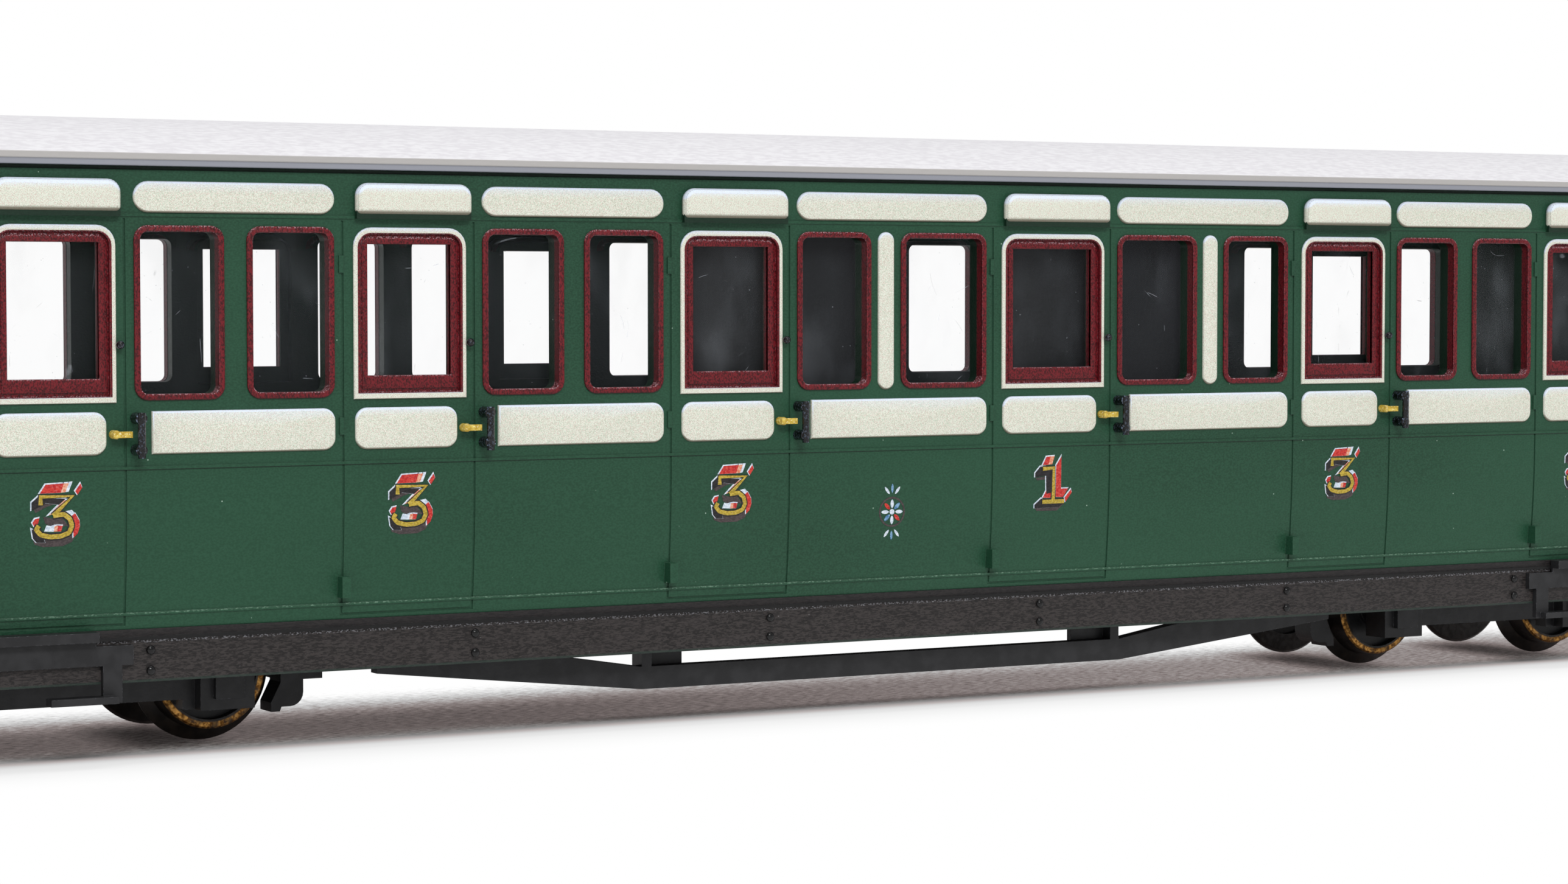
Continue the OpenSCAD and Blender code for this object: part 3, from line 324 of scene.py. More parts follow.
def printed_maroon():
    """Maroon print with darker strokes; painted shade below, painted pale highlight specks above.
    """
    f = Finish("printed_maroon", srgb(96, 16, 24), 0.45, specular_ior_level=0.3)
    grain = f.noise(0.07, (1, 1, 1.6), 2)
    tone = f.mix(f.mask(grain, 0.36, 0.6), srgb(60, 6, 12), srgb(114, 22, 31))
    up = f.lean("Z", 0.12)
    # painted shade: darker maroon on faces that look downward
    tone = f.mix(f.mask(up, -0.15, -0.5) * 0.6, tone, srgb(44, 12, 14))
    # painted highlight: pale pink specks on faces that look upward and along edges
    speck = f.mask(f.noise(0.08, (1, 1, 1), 2), 0.5, 0.6)
    speck = speck * (f.mask(up, 0.1, 0.4) * 0.75 + f.edges(0.07) * 0.3)
    f.set("Base Color", f.mix(speck, tone, srgb(206, 168, 176)))
    f.relief(grain, 0.02, 0.7)
    return f.material


def textured_roof():
    """Pale grey roof, matt, with fine dimples drawn out along its length, painted shade on its rim.
    """
    f = Finish("textured_roof", srgb(222, 220, 223), 0.62, specular_ior_level=0.3)
    height = f.axis("Z")
    dimple = f.noise(0.3, (2.0, 1, 1), 3)
    tone = f.mix(f.mask(dimple, 0.36, 0.64), srgb(216, 214, 218), srgb(227, 226, 229))
    # painted shade: the upright rim below the roof's edge is darker
    rim = f.mask(height, RIM_Z + 0.66, RIM_Z + 0.6)
    tone = f.mix(rim, tone, srgb(176, 173, 171))
    # painted shade: the lower step of the rim is darker still, bluish grey
    lower = f.mask(height, RIM_Z + 0.31, RIM_Z + 0.27)
    f.set("Base Color", f.mix(lower, tone, srgb(146, 148, 157)))
    f.relief(dimple, 0.035, 0.8)
    return f.material


def clear_plastic():
    """Clear glazing with a little dust and a few hair scratches."""
    f = Finish("clear_plastic", srgb(225, 234, 244), 0.04, specular_ior_level=0.5)
    haze = f.mask(f.noise(2.5, (1, 1, 2), 4), 0.5, 0.85) * 0.05
    dust = f.mask(f.dots(0.5), 0.07, 0.03) * f.mask(f.noise(1.7), 0.5, 0.6)
    hair = f.mask(f.size_of(f.noise(4.5, (1, 1, 1.5), 0) - 0.5), 0.0022, 0.0008)
    hair = hair * f.mask(f.noise(1.3), 0.6, 0.68)
    f.set("Alpha", haze + dust * 0.4 + hair * 0.3 + 0.012)
    f.set("Roughness", f.mask(f.noise(1.1), 0.4, 0.8) * 0.06 + 0.03)
    return f.material


def charcoal_moulding(name, colour, pale):
    """Plain moulding of the inside: matt, a little cloudy, paler along its edges."""
    f = Finish(name, colour, 0.6, specular_ior_level=0.3)
    tone = f.mix(f.mask(f.noise(4, (1, 1, 2)), 0.35, 0.75), colour, pale)
    f.set("Base Color", f.mix(f.edges(0.15) * 0.3, tone, srgb(120, 120, 125)))
    f.relief(f.noise(0.3), 0.02, 0.5, soft=0.06)
    return f.material


def grained_black():
    """Black solebars: fine mottled grain, glints on the ledge, black rivets, a green lower edge."""
    f = Finish("grained_black", srgb(38, 34, 34), 0.5, specular_ior_level=0.35)
    grain = f.noise(0.07, (3.5, 1, 1), 3, 0.65)
    tone = f.mix(f.mask(grain, 0.42, 0.58), srgb(23, 19, 19), srgb(55, 50, 49))
    tone = f.mix(f.mask(f.noise(0.5, (5, 1, 1), 2), 0.55, 0.7) * 0.3, tone, srgb(60, 54, 54))
    height = f.axis("Z")
    tone = f.mix(f.mask(height, SOLEBAR_Z + 0.16, SOLEBAR_Z + 0.08) * 0.6, tone, srgb(36, 56, 48))
    ledge = f.mask(height, LEDGE_Z - 0.17, LEDGE_Z - 0.1)
    ledge = ledge * f.mask(height, LEDGE_Z + 0.08, LEDGE_Z + 0.04)
    shine = ledge * 0.4 + f.edges(0.06) * (ledge * 0.4 + 0.05)
    riser = f.mask(height, LEDGE_Z + 0.02, LEDGE_Z + 0.1)
    tone = f.mix(riser * 0.6, tone, srgb(22, 20, 22))
    glint = f.mask(f.noise(0.08, (1.6, 1, 1), 1), 0.5, 0.62) * shine
    mote = f.mask(f.dots(0.9), 0.05, 0.02) * f.mask(f.noise(2.4), 0.5, 0.56)
    tone = f.mix(mote * 0.5, tone, srgb(150, 148, 150))
    tone = f.mix(glint, tone, srgb(196, 196, 204))
    head = f.mask(f.size_of(f.axis("Y")), SOLEBAR_HALF + 0.05, SOLEBAR_HALF + 0.08)
    f.set("Base Color", f.mix(head, tone, srgb(10, 9, 10)))
    f.set("Roughness", f.mask(grain, 0.2, 0.8) * 0.2 + 0.4)
    f.relief(grain, 0.02, 0.8, soft=0.05)
    return f.material


def rail_gloss():
    """Thick gloss black of rails and knobs, broken by small bluish lights."""
    f = Finish("rail_gloss", srgb(10, 10, 13), 0.14, specular_ior_level=0.4)
    spark = f.mask(f.noise(0.1, (1, 1, 1.4), 1), 0.56, 0.64)
    edge = f.edges(0.14, 0.01, 0.15) * 0.75 + 0.12
    tone = f.mix(f.mask(f.noise(0.5), 0.4, 0.7), srgb(8, 8, 10), srgb(20, 20, 25))
    f.set("Base Color", f.mix(spark * edge, tone, srgb(150, 170, 200)))
    f.relief(f.noise(0.12), 0.02, 0.6, soft=0.09)
    return f.material


def moulded_black(name="moulded_black", colour=(29, 29, 31), roughness=0.45, glints=0.35):
    """Black moulding with a fine skin and pale glints along its edges."""
    f = Finish(name, srgb(*colour), roughness, specular_ior_level=0.35)
    pale = tuple(c + 12 for c in colour)
    tone = f.mix(f.mask(f.noise(0.9), 0.35, 0.7), srgb(*colour), srgb(*pale))
    glint = f.mask(f.noise(0.14), 0.52, 0.62) * f.edges(0.05)
    f.set("Base Color", f.mix(glint * glints, tone, srgb(170, 173, 182)))
    f.relief(f.noise(0.16, (1, 1, 1), 3), 0.015, 0.6, soft=0.05)
    return f.material


def gold_paint():
    """Thick gold paint with bright glints."""
    f = Finish("gold_paint", srgb(210, 178, 58), 0.35, specular_ior_level=0.5)
    lump = f.noise(0.2, (1, 1, 1), 2)
    tone = f.mix(f.mask(lump, 0.35, 0.7), srgb(184, 150, 40), srgb(226, 200, 92))
    tone = f.mix(f.mask(f.noise(0.1), 0.58, 0.66) * 0.7, tone, srgb(250, 244, 212))
    f.set("Base Color", tone)
    f.relief(lump, 0.04, 0.8, soft=0.08)
    return f.material


def turned_metal(name, colour, roughness, wear_and_shade):
    """Turned metal with fine rings and a little tarnish."""
    f = Finish(name, srgb(*colour), roughness, metallic=1.0)
    tone = f.mix(f.mask(f.noise(0.5, (1, 2, 1), 3), 0.4, 0.7), srgb(*colour), srgb(*wear_and_shade))
    f.set("Base Color", tone)
    f.set("Roughness", f.mask(f.noise(0.2), 0.3, 0.7) * 0.2 + roughness - 0.1)
    f.relief(f.noise(0.12, (1, 3, 1), 2), 0.01, 0.4, soft=0.04)
    return f.material


def blackened_tyre():
    """Chemically blackened tyre, its blackening rubbed off to brass in a ring round its outer face.
    """
    f = Finish("blackened_tyre", srgb(40, 34, 30), 0.4, specular_ior_level=0.4)
    along = f.size_of(f.size_of(f.axis("X")) - BOGIE_X) - HALF_WHEELBASE
    rise = f.axis("Z") - AXLE_Z
    radius = (along * along + rise * rise) ** 0.5
    face = f.mask(f.size_of(f.axis("Y")), TYRE_FACE - 0.12, TYRE_FACE - 0.06)
    ring = f.mask(radius, *WORN_RING)
    patchy = f.mask(f.noise(0.5, (1, 1, 1), 3), 0.3, 0.55) * 0.75 + 0.25
    wear_and_shade = face * ring * patchy
    dark = f.mix(f.mask(f.noise(0.7), 0.4, 0.7), srgb(24, 20, 18), srgb(44, 37, 32))
    bright = f.mix(f.mask(f.noise(0.2, (1, 1, 1), 3), 0.38, 0.62), srgb(104, 68, 28),
                   srgb(196, 146, 78))
    f.set("Base Color", f.mix(wear_and_shade, dark, bright))
    f.set("Metallic", wear_and_shade * 0.8 + 0.1)
    f.set("Roughness", f.mask(f.noise(0.3), 0.3, 0.7) * 0.2 + 0.3)
    f.relief(f.noise(0.15, (1, 3, 1), 2), 0.01, 0.5, soft=0.04)
    return f.material


def ink(name, colour, pale, glints=0.0):
    """Printed colour with the dither of a fine printer."""
    f = Finish(name, srgb(*colour), 0.45, specular_ior_level=0.3)
    grain = f.noise(0.08, (1.6, 1, 1), 2)
    tone = f.mix(f.mask(grain, 0.38, 0.62), srgb(*colour), srgb(*pale))
    if glints:
        # painted glints: pale specks over the print
        tone = f.mix(f.mask(f.noise(0.1), 0.6, 0.66) * glints, tone, srgb(236, 240, 246))
    f.set("Base Color", tone)
    f.relief(grain, 0.01, 0.5)
    return f.material


GREEN = painted_green()
CREAM = printed_cream()
MAROON = printed_maroon()
ROOF = textured_roof()
CLEAR = clear_plastic()
CHARCOAL = charcoal_moulding("charcoal_moulding", srgb(46, 46, 50), srgb(62, 62, 68))
SOLEBAR = grained_black()
BLACK = moulded_black()
GLOSS = rail_gloss()
RIVET = moulded_black("rivet_black", (4, 4, 5), 0.1, 0.6)
GOLD = gold_paint()
STEEL = turned_metal("bright_steel", (186, 186, 188), 0.3, (150, 148, 146))
BRASS = turned_metal("turned_brass", (196, 152, 84), 0.32, (150, 108, 58))
TYRE = blackened_tyre()
GOLD_INK = ink("gold_ink", (158, 134, 40), (196, 170, 66), 0.1)
RED_INK = ink("red_ink", (176, 30, 34), (206, 66, 54), 0.1)
BLACK_INK = ink("black_ink", (28, 26, 28), (44, 40, 42))
SHADE_INK = ink("shade_ink", (62, 54, 55), (80, 70, 70))
WHITE_INK = ink("white_ink", (186, 200, 216), (224, 232, 242), 0.2)
ORANGE_INK = ink("orange_ink", (214, 120, 84), (228, 176, 150), 0.2)
BLUE_INK = ink("blue_ink", (62, 112, 160), (130, 170, 202), 0.2)

NODE_FINISHES = {
    "body_shell": GREEN, "glazing": CLEAR, "interior_seats": CHARCOAL, "partition": CHARCOAL,
    "ballast_plate": STEEL, "underframe": SOLEBAR, "truss": BLACK, "step": BLACK,
    "handrails": GLOSS, "door_handles": GOLD, "grab_knobs": GLOSS, "end_steps": BLACK,
    "vacuum_pipe": GLOSS, "lamp_irons": GLOSS, "bogie_frame": BLACK, "pivot_screw": STEEL,
    "pivot_washer": BRASS, "bearings": BRASS, "axle": STEEL, "wheel_discs": BLACK,
    "tyres": TYRE, "coupling_hook": BLACK, "coupling_loop": BLACK, "loop_pin": STEEL,
    "roof": ROOF,
}


def finish_nodes():
    for name, node in nodes.items():
        key = max((k for k in NODE_FINISHES if name.startswith(k)), key=len)
        node.data.materials.clear()
        node.data.materials.append(NODE_FINISHES[key])


# ---------------------------------------------------------------- outlines, x and z in millimetres

def arc(cx, cz, radius, start, end, steps=6):
    angles = [math.radians(start + (end - start) * i / steps) for i in range(steps + 1)]
    return [(cx + radius * math.cos(a), cz + radius * math.sin(a)) for a in angles]


def rounded(x0, x1, z0, z1, radii):
    """Rectangle with a radius at each corner: low left, low right, top right, top left."""
    if not isinstance(radii, tuple):
        radii = (radii,) * 4
    corners = ((x0, z0, 1, 1, 180), (x1, z0, -1, 1, 270), (x1, z1, -1, -1, 0), (x0, z1, 1, -1, 90))
    points = []
    for (x, z, sx, sz, start), r in zip(corners, radii):
        points += arc(x + sx * r, z + sz * r, r, start, start + 90) if r > 0 else [(x, z)]
    return points


def window_boxes(door):
    left, right, cls = door
    w = WINDOW_W[cls]
    return ((left - DOOR_GAP - w, left - DOOR_GAP), (right + DOOR_GAP, right + DOOR_GAP + w))


def bays(doors):
    """Gaps between doors as (left door or None, right door or None)."""
    return list(zip([None] + doors, doors + [None]))


def grown(x0, x1, z0, z1, radii, by):
    if not isinstance(radii, tuple):
        radii = (radii,) * 4
    return rounded(x0 - by, x1 + by, z0 - by, z1 + by, tuple(r + by if r else 0 for r in radii))


# ---------------------------------------------------------------- making meshes

def link(name, mesh, material):
    piece = bpy.data.objects.new(name, mesh)
    bpy.context.scene.collection.objects.link(piece)
    mesh.materials.clear()
    mesh.materials.append(material)
    return piece


def smooth(mesh, angle=32):
    mesh.shade_smooth()
    mesh.set_sharp_from_angle(angle=math.radians(angle))


def as_mesh(curve):
    """Mesh of a curve object's data, which is then dropped."""
    holder = bpy.data.objects.new("holder", curve)
    bpy.context.scene.collection.objects.link(holder)
    depsgraph = bpy.context.evaluated_depsgraph_get()
    mesh = bpy.data.meshes.new_from_object(holder.evaluated_get(depsgraph))
    bpy.data.objects.remove(holder)
    bpy.data.curves.remove(curve)
    return mesh


def plate(outlines, inner, outer, bevel, spread=0.0):
    """Upright plate between two distances from the middle of the coach, with rounded edges.

    An outline inside another is a hole. The result is drawn for the near side, in millimetres.
    """
    curve = bpy.data.curves.new("plate", "CURVE")
    curve.dimensions = "2D"
    curve.fill_mode = "BOTH"
    for outline in outlines:
        spline = curve.splines.new("POLY")
        spline.points.add(len(outline) - 1)
        for point, (x, z) in zip(spline.points, outline):
            point.co = (x, z, 0, 1)
        spline.use_cyclic_u = True
    curve.extrude = (outer - inner) / 2 - bevel
    curve.bevel_depth = bevel
    curve.bevel_resolution = 2
    curve.offset = spread - bevel
    mesh = as_mesh(curve)
    mesh.transform(Matrix(((1, 0, 0, 0), (0, 0, -1, -(inner + outer) / 2), (0, 1, 0, 0),
                           (0, 0, 0, 1))))
    return mesh


def joined(meshes):
    shape = bmesh.new()
    for mesh in meshes:
        shape.from_mesh(mesh)
        bpy.data.meshes.remove(mesh)
    bmesh.ops.remove_doubles(shape, verts=shape.verts, dist=1e-5)
    mesh = bpy.data.meshes.new("joined")
    shape.to_mesh(mesh)
    shape.free()
    return mesh


def on_side(name, mesh, side, material, slot, body="coach_body", angle=32):
    """Puts a mesh drawn in millimetres for the near side on the near or far side."""
    turn = Matrix.Rotation(0 if side > 0 else math.pi, 4, "Z")
    mesh.transform(Matrix.Scale(MM, 4) @ turn)
    smooth(mesh, angle)
    piece = link(name, mesh, material)
    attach(piece, body)
    return piece


def follow_side(mesh, lift):
    """Lays a flat mesh, drawn upright with y as its height, on the curved side."""
    for vertex in mesh.vertices:
        vertex.co.y = vertex.co.y - side_half(vertex.co.z) - lift
    return mesh


# ---------------------------------------------------------------- panels and frames

def cap_plates(rects):
    """Softly rounded caps over the solid panels, each (x0, x1, z0, z1, radii)."""
    return joined([plate([grown(*rect, SOFT_CAP)], HALF_W - PANEL_BACK,
                         HALF_W + PANEL_PROUD + SOFT_CAP, SOFT_EDGE) for rect in rects])


def waist_panels(doors):
    rects = [(d[0] + DOOR_PANEL[0], d[1] - DOOR_PANEL[1], *WAIST_PANEL, PANEL_R) for d in doors]
    for left, right in bays(doors):
        x0 = left[1] + HANDRAIL_SPACE if left else -END_X + CORNER_POST_W
        x1 = right[0] - DOOR_GAP if right else END_X - CORNER_POST_W
        radii = (0, PANEL_R, PANEL_R, 0) if left else PANEL_R
        rects.append((x0, x1, *WAIST_PANEL, radii))
    return rects


def top_panels(doors):
    radius = (TOP_PANEL[1] - TOP_PANEL[0]) / 2 - 0.01
    rects = []
    for left, right in bays(doors):
        x0 = left[1] + DOOR_GAP if left else -END_X + CORNER_POST_W
        x1 = right[0] - DOOR_GAP if right else END_X - CORNER_POST_W
        rects.append((x0, x1, *TOP_PANEL, radius))
    return rects


def pillar_panels(doors):
    rects = []
    for left, right in zip(doors, doors[1:]):
        if left[2] != right[2]:
            centre = (window_boxes(left)[1][1] + window_boxes(right)[0][0]) / 2
            rects.append((centre - PILLAR_PANEL_HALF, centre + PILLAR_PANEL_HALF,
                          WINDOW_Z, WINDOW_TOP, PILLAR_PANEL_HALF - 0.01))
    return rects


def hood_plates(doors):
    """Pillowy ventilator hood over each door."""
    outlines = [grown(d[0] + HOOD_INSET[0], d[1] - HOOD_INSET[1], HOOD[0] - HOOD_DROP, HOOD[1],
                      (0.2, 0.2, 0.6, 0.6), HOOD_CAP[0]) for d in doors]
    front = HALF_W + HOOD_PROUD + HOOD_CAP[1]
    return joined([plate([outline], HALF_W - INTO_WALL, front, HOOD_EDGE)
                   for outline in outlines])


def frame_ring(x0, x1, z0, z1, radii, width, outer, bevel):
    inner_radii = tuple(max(r - width, 0) for r in radii)
    return plate([grown(x0, x1, z0, z1, radii, CAP),
                  grown(x0 + width, x1 - width, z0 + width, z1 - width, inner_radii, -CAP)],
                 HALF_W - INTO_WALL, outer, bevel)


def jamb_liner(x0, x1, z0, z1, radii, depth):
    """Thin printed band that runs from a frame into its window opening."""
    return plate([grown(x0, x1, z0, z1, radii, 0.01), grown(x0, x1, z0, z1, radii, -CAP)],
                 HALF_W - depth, HALF_W + PANEL_PROUD, 0)


def window_frames(doors):
    meshes = []
    for door in doors:
        for x0, x1 in window_boxes(door):
            meshes.append(frame_ring(x0, x1, WINDOW_Z, WINDOW_TOP, (WINDOW_R,) * 4, FRAME_W,
                                     HALF_W + PANEL_PROUD + CAP, FRAME_BEVEL))
            w = FRAME_W
            meshes.append(jamb_liner(x0 + w, x1 - w, WINDOW_Z + w, WINDOW_TOP - w,
                                     (WINDOW_R - w,) * 4, JAMB_DEPTH))
    return joined(meshes)


def door_window(door):
    return door[0] + DOOR_FRAME[0], door[1] - DOOR_FRAME[1]


def door_borders(doors):
    """Cream border round each door window."""
    r = WINDOW_R + FRAME_W
    return joined([frame_ring(*door_window(d), DOOR_WINDOW_Z, WINDOW_TOP, (0, 0, r, r), FRAME_W,
                              HALF_W + PANEL_PROUD + CAP, FRAME_BEVEL) for d in doors])


def door_lights(doors):
    """Maroon sliding light in each door: a frame with two steps and a deep bottom rail."""
    meshes = []
    for door in doors:
        x0, x1 = door_window(door)
        x0, x1 = x0 + FRAME_W + CAP, x1 - FRAME_W - CAP
        z0, z1 = DOOR_WINDOW_Z + FRAME_W + CAP, WINDOW_TOP - FRAME_W - CAP
        glass = rounded(x0 + STILE_W, x1 - STILE_W, z0 + BOTTOM_RAIL, z1 - TOP_RAIL, 0.0)
        outer = rounded(x0, x1, z0, z1, (0, 0, WINDOW_R - 0.05, WINDOW_R - 0.05))
        raised = rounded(x0 + LIGHT_STEP, x1 - LIGHT_STEP, z0 + LIGHT_STEP, z1 - LIGHT_STEP,
                         (0, 0, 0.4, 0.4))
        meshes.append(plate([outer, glass], HALF_W - 0.6, HALF_W - LIGHT_RECESS + 0.02, 0.03))
        lip = rounded(x0 - LIP, x1 + LIP, z0 - CAP, z1 + CAP,
                      (0, 0, WINDOW_R + CAP, WINDOW_R + CAP))
        within = rounded(x0 + CAP, x1 - CAP, z0 + CAP, z1 - CAP, (0, 0, WINDOW_R, WINDOW_R))
        meshes.append(plate([lip, within], HALF_W - 0.2, HALF_W + PANEL_PROUD + 2 * CAP, 0.015))
        meshes.append(plate([raised, glass], HALF_W - 0.3, HALF_W - LIGHT_RECESS + 0.08, 0.04))
    return joined(meshes)


def dress_sides():
    for side, doors, sign in SIDES:
        for name, mesh, material, slot in (
                ("waist_panels_", cap_plates(waist_panels(doors)), CREAM, "panel_cream"),
                ("top_panels_", cap_plates(top_panels(doors)), CREAM, "panel_cream"),
                ("pillar_panels_", cap_plates(pillar_panels(doors)), CREAM, "panel_cream"),
                ("vent_hoods_", hood_plates(doors), CREAM, "panel_cream"),
                ("door_borders_", door_borders(doors), CREAM, "panel_cream"),
                ("window_frames_", window_frames(doors), MAROON, "frame_maroon"),
                ("door_lights_", door_lights(doors), MAROON, "frame_maroon")):
            on_side(name + side, mesh, sign, material, slot)


# ---------------------------------------------------------------- numerals

NUMERAL_Z = WAIST_Z - 3.33
STROKE_R = 0.13
THREE = ([(0.36, 1.68), (0.36, 2.1), (2.0, 2.1), (1.0, 1.14)],
         [(1.0, 1.14), (1.55, 1.2), (1.86, 0.96), (1.97, 0.6), (1.82, 0.26), (1.4, 0.1),
          (0.82, 0.08), (0.36, 0.2), (0.13, 0.46), (0.26, 0.66)])
ONE = ([(0.06, 2.02), (0.82, 2.06), (0.82, 0.1)], [(0.06, 0.1), (1.58, 0.1)])
THREE_BLOCKS = (
    ("shade", [(-0.06, 0.1), (0.06, -0.28), (0.5, -0.42), (1.5, -0.4), (1.98, -0.2), (2.2, 0.2),
               (1.5, -0.05), (0.6, -0.06)]),
    ("shade", [(0.5, 1.1), (0.9, 1.02), (1.5, 1.0), (1.8, 0.6), (0.9, 0.62), (0.6, 0.75)]),
    ("shade", [(0.0, 1.5), (0.1, 1.3), (0.7, 1.6), (1.1, 1.72), (0.5, 1.85)]),
    ("block", [(0.32, 2.26), (0.62, 2.7), (1.56, 2.74), (1.4, 2.28)]),
    ("glow", [(1.4, 2.28), (1.56, 2.74), (1.82, 2.75), (1.64, 2.3)]),
    ("shine", [(1.64, 2.3), (1.82, 2.75), (1.98, 2.76), (1.8, 2.32)]),
    ("block", [(2.14, 2.34), (2.42, 2.72), (2.5, 2.5), (2.26, 2.16)]),
    ("block", [(1.96, 1.3), (2.16, 1.2), (2.36, 0.85), (2.38, 0.55), (2.26, 0.2), (2.06, 0.02),
               (2.02, 0.6), (1.84, 1.02)]),
    ("shine", [(1.66, 1.28), (1.98, 1.34), (2.1, 1.22), (1.88, 1.04)]),
    ("glow", [(0.78, 1.16), (0.98, 1.36), (1.54, 1.88), (1.7, 1.9), (1.0, 1.24)]),
    ("block", [(-0.06, 0.8), (0.08, 1.0), (0.3, 1.04), (0.24, 0.78), (0.04, 0.62)]),
    ("shine", [(0.62, 0.36), (0.72, 0.6), (0.92, 0.56), (1.08, 0.62), (1.04, 0.34)]),
    ("glow", [(1.04, 0.34), (1.08, 0.62), (1.26, 0.64), (1.22, 0.34)]),
    ("block", [(1.22, 0.34), (1.26, 0.64), (1.5, 0.62), (1.42, 0.34)]),
    ("outline", [(-0.1, 1.42), (-0.1, 1.82), (0.3, 2.16), (0.5, 2.0), (1.66, 1.98), (1.3, 1.68),
                 (0.6, 1.78), (0.3, 1.6)]),
    ("outline", [(-0.1, 0.5), (-0.02, 0.02), (0.16, -0.18), (0.6, -0.2), (0.5, 0.1), (0.1, 0.4)]),
)
ONE_BLOCKS = (
    ("shade", [(-0.45, -0.24), (-0.3, -0.42), (1.1, -0.44), (1.66, 0.0), (0.2, -0.1)]),
    ("shade", [(-0.45, 1.5), (-0.3, 1.36), (0.2, 1.4), (0.5, 1.6)]),
    ("block", [(0.06, 2.24), (0.32, 2.72), (0.62, 2.74), (0.46, 2.26)]),
    ("glow", [(0.46, 2.26), (0.62, 2.74), (0.88, 2.75), (0.72, 2.28)]),
    ("block", [(1.0, 2.2), (1.36, 2.72), (1.36, 0.84), (1.0, 0.36)]),
    ("block", [(1.0, 0.36), (1.3, 0.84), (1.86, 0.84), (1.5, 0.34)]),
    ("block", [(1.62, 0.3), (2.06, 0.78), (2.12, 0.6), (1.7, 0.06)]),
    ("block", [(0.1, 0.34), (0.34, 0.76), (0.68, 0.76), (0.66, 0.32)]),
    ("outline", [(-0.46, 1.54), (-0.46, 1.78), (-0.1, 2.16), (0.3, 2.14), (0.7, 1.94), (0.7, 0.62),
                 (0.34, 0.56), (0.3, 1.62)]),
    ("outline", [(-0.46, -0.26), (-0.46, -0.06), (0.0, 0.3), (0.3, 0.0), (1.56, 0.0),
                 (1.2, -0.24)]),
)
NUMERALS = {3: (THREE, THREE_BLOCKS, 2.1), 1: (ONE, ONE_BLOCKS, 1.34)}
LIT_BLOCKS = ("block", "glow", "shine", "outline")
BLOCK_LAYERS = (
    ("shade", SHADE_INK, ("shade",), 0.0, (0, 0)),
    ("edge", WHITE_INK, LIT_BLOCKS, 0.035, (-0.03, 0.03)),
    ("block", RED_INK, ("block",), 0.0, (0, 0)),
    ("glow", ORANGE_INK, ("glow",), 0.0, (0, 0)),
    ("shine", WHITE_INK, ("shine",), 0.0, (0, 0)),
    ("dark", BLACK_INK, ("outline",), 0.0, (0, 0)),
)


def stroke(points, radius, rounded_path, shift=(0, 0), flat=0.1):
    """Printed stroke along points: a tube pressed nearly flat, drawn with y as its height."""
    curve = bpy.data.curves.new("stroke", "CURVE")
    curve.dimensions = "3D"
    curve.bevel_depth = radius
    curve.bevel_resolution = 2
    curve.use_fill_caps = True
    curve.resolution_u = 4
    if rounded_path:
        spline = curve.splines.new("NURBS")
        spline.order_u = 3
        spline.use_endpoint_u = True
    else:
        spline = curve.splines.new("POLY")
    spline.points.add(len(points) - 1)
    for point, (x, z) in zip(spline.points, points):
        point.co = (x + shift[0], 0, z + shift[1], 1)
    mesh = as_mesh(curve)
    for vertex in mesh.vertices:
        vertex.co.y *= flat
    return mesh


def print_plate(outlines, lift, spread=0.0):
    mesh = plate(outlines, 0, INK_T, 0, spread)
    return follow_side(mesh, lift)


def numeral_places(doors):
    """Class and low left corner of the numeral on each door."""
    return [(cls, (left + right - NUMERALS[cls][2]) / 2) for left, right, cls in doors]


def numeral_strokes(doors, radius, lift):
    meshes = []
    for cls, x in numeral_places(doors):
        for k, path in enumerate(NUMERALS[cls][0]):
            mesh = stroke(path, radius, cls == 3 and k == 1, (x, NUMERAL_Z))
            meshes.append(follow_side(mesh, lift))
    return joined(meshes)


def numeral_blocks(doors, kinds, lift, spread, shift):
    meshes = []
    for cls, x in numeral_places(doors):
        for name, outline in NUMERALS[cls][1]:
            if name in kinds:
                shape = [(x + u + shift[0], NUMERAL_Z + v + shift[1]) for u, v in outline]
                meshes.append(print_plate([shape], lift, spread))
    return joined(meshes)


def number_doors():
    for side, doors, sign in SIDES:
        for k, (name, material, kinds, spread, shift) in enumerate(BLOCK_LAYERS):
            mesh = numeral_blocks(doors, kinds, INK_LIFT + INK_STEP * k, spread, shift)
            on_side(f"numeral_{name}_{side}", mesh, sign, material, "numeral_print", angle=60)
        for name, material, radius, lift in (("rim", BLACK_INK, STROKE_R + 0.05, 0.032),
                                             ("face", GOLD_INK, STROKE_R, 0.042)):
            on_side(f"numeral_{name}_{side}", numeral_strokes(doors, radius, lift), sign, material,
                    "numeral_print", angle=60)


# ---------------------------------------------------------------- ornament on the middle bay

ORNAMENT_X = -1.2
ORNAMENT_Z = WAIST_Z - 3.5
LEAF_CENTRE = 0.46


def lozenge(x, z, length, width, angle, steps=8):
    """Leaf pointing at an angle from its centre."""
    a = math.radians(angle)
    points = []
    for i in range(2 * steps):
        t = math.pi * i / steps
        u = length / 2 * math.cos(t)
        v = width / 2 * math.sin(t) * abs(math.sin(t)) ** 0.5
        points.append((x + u * math.cos(a) - v * math.sin(a),
                       z + u * math.sin(a) + v * math.cos(a)))
    return points


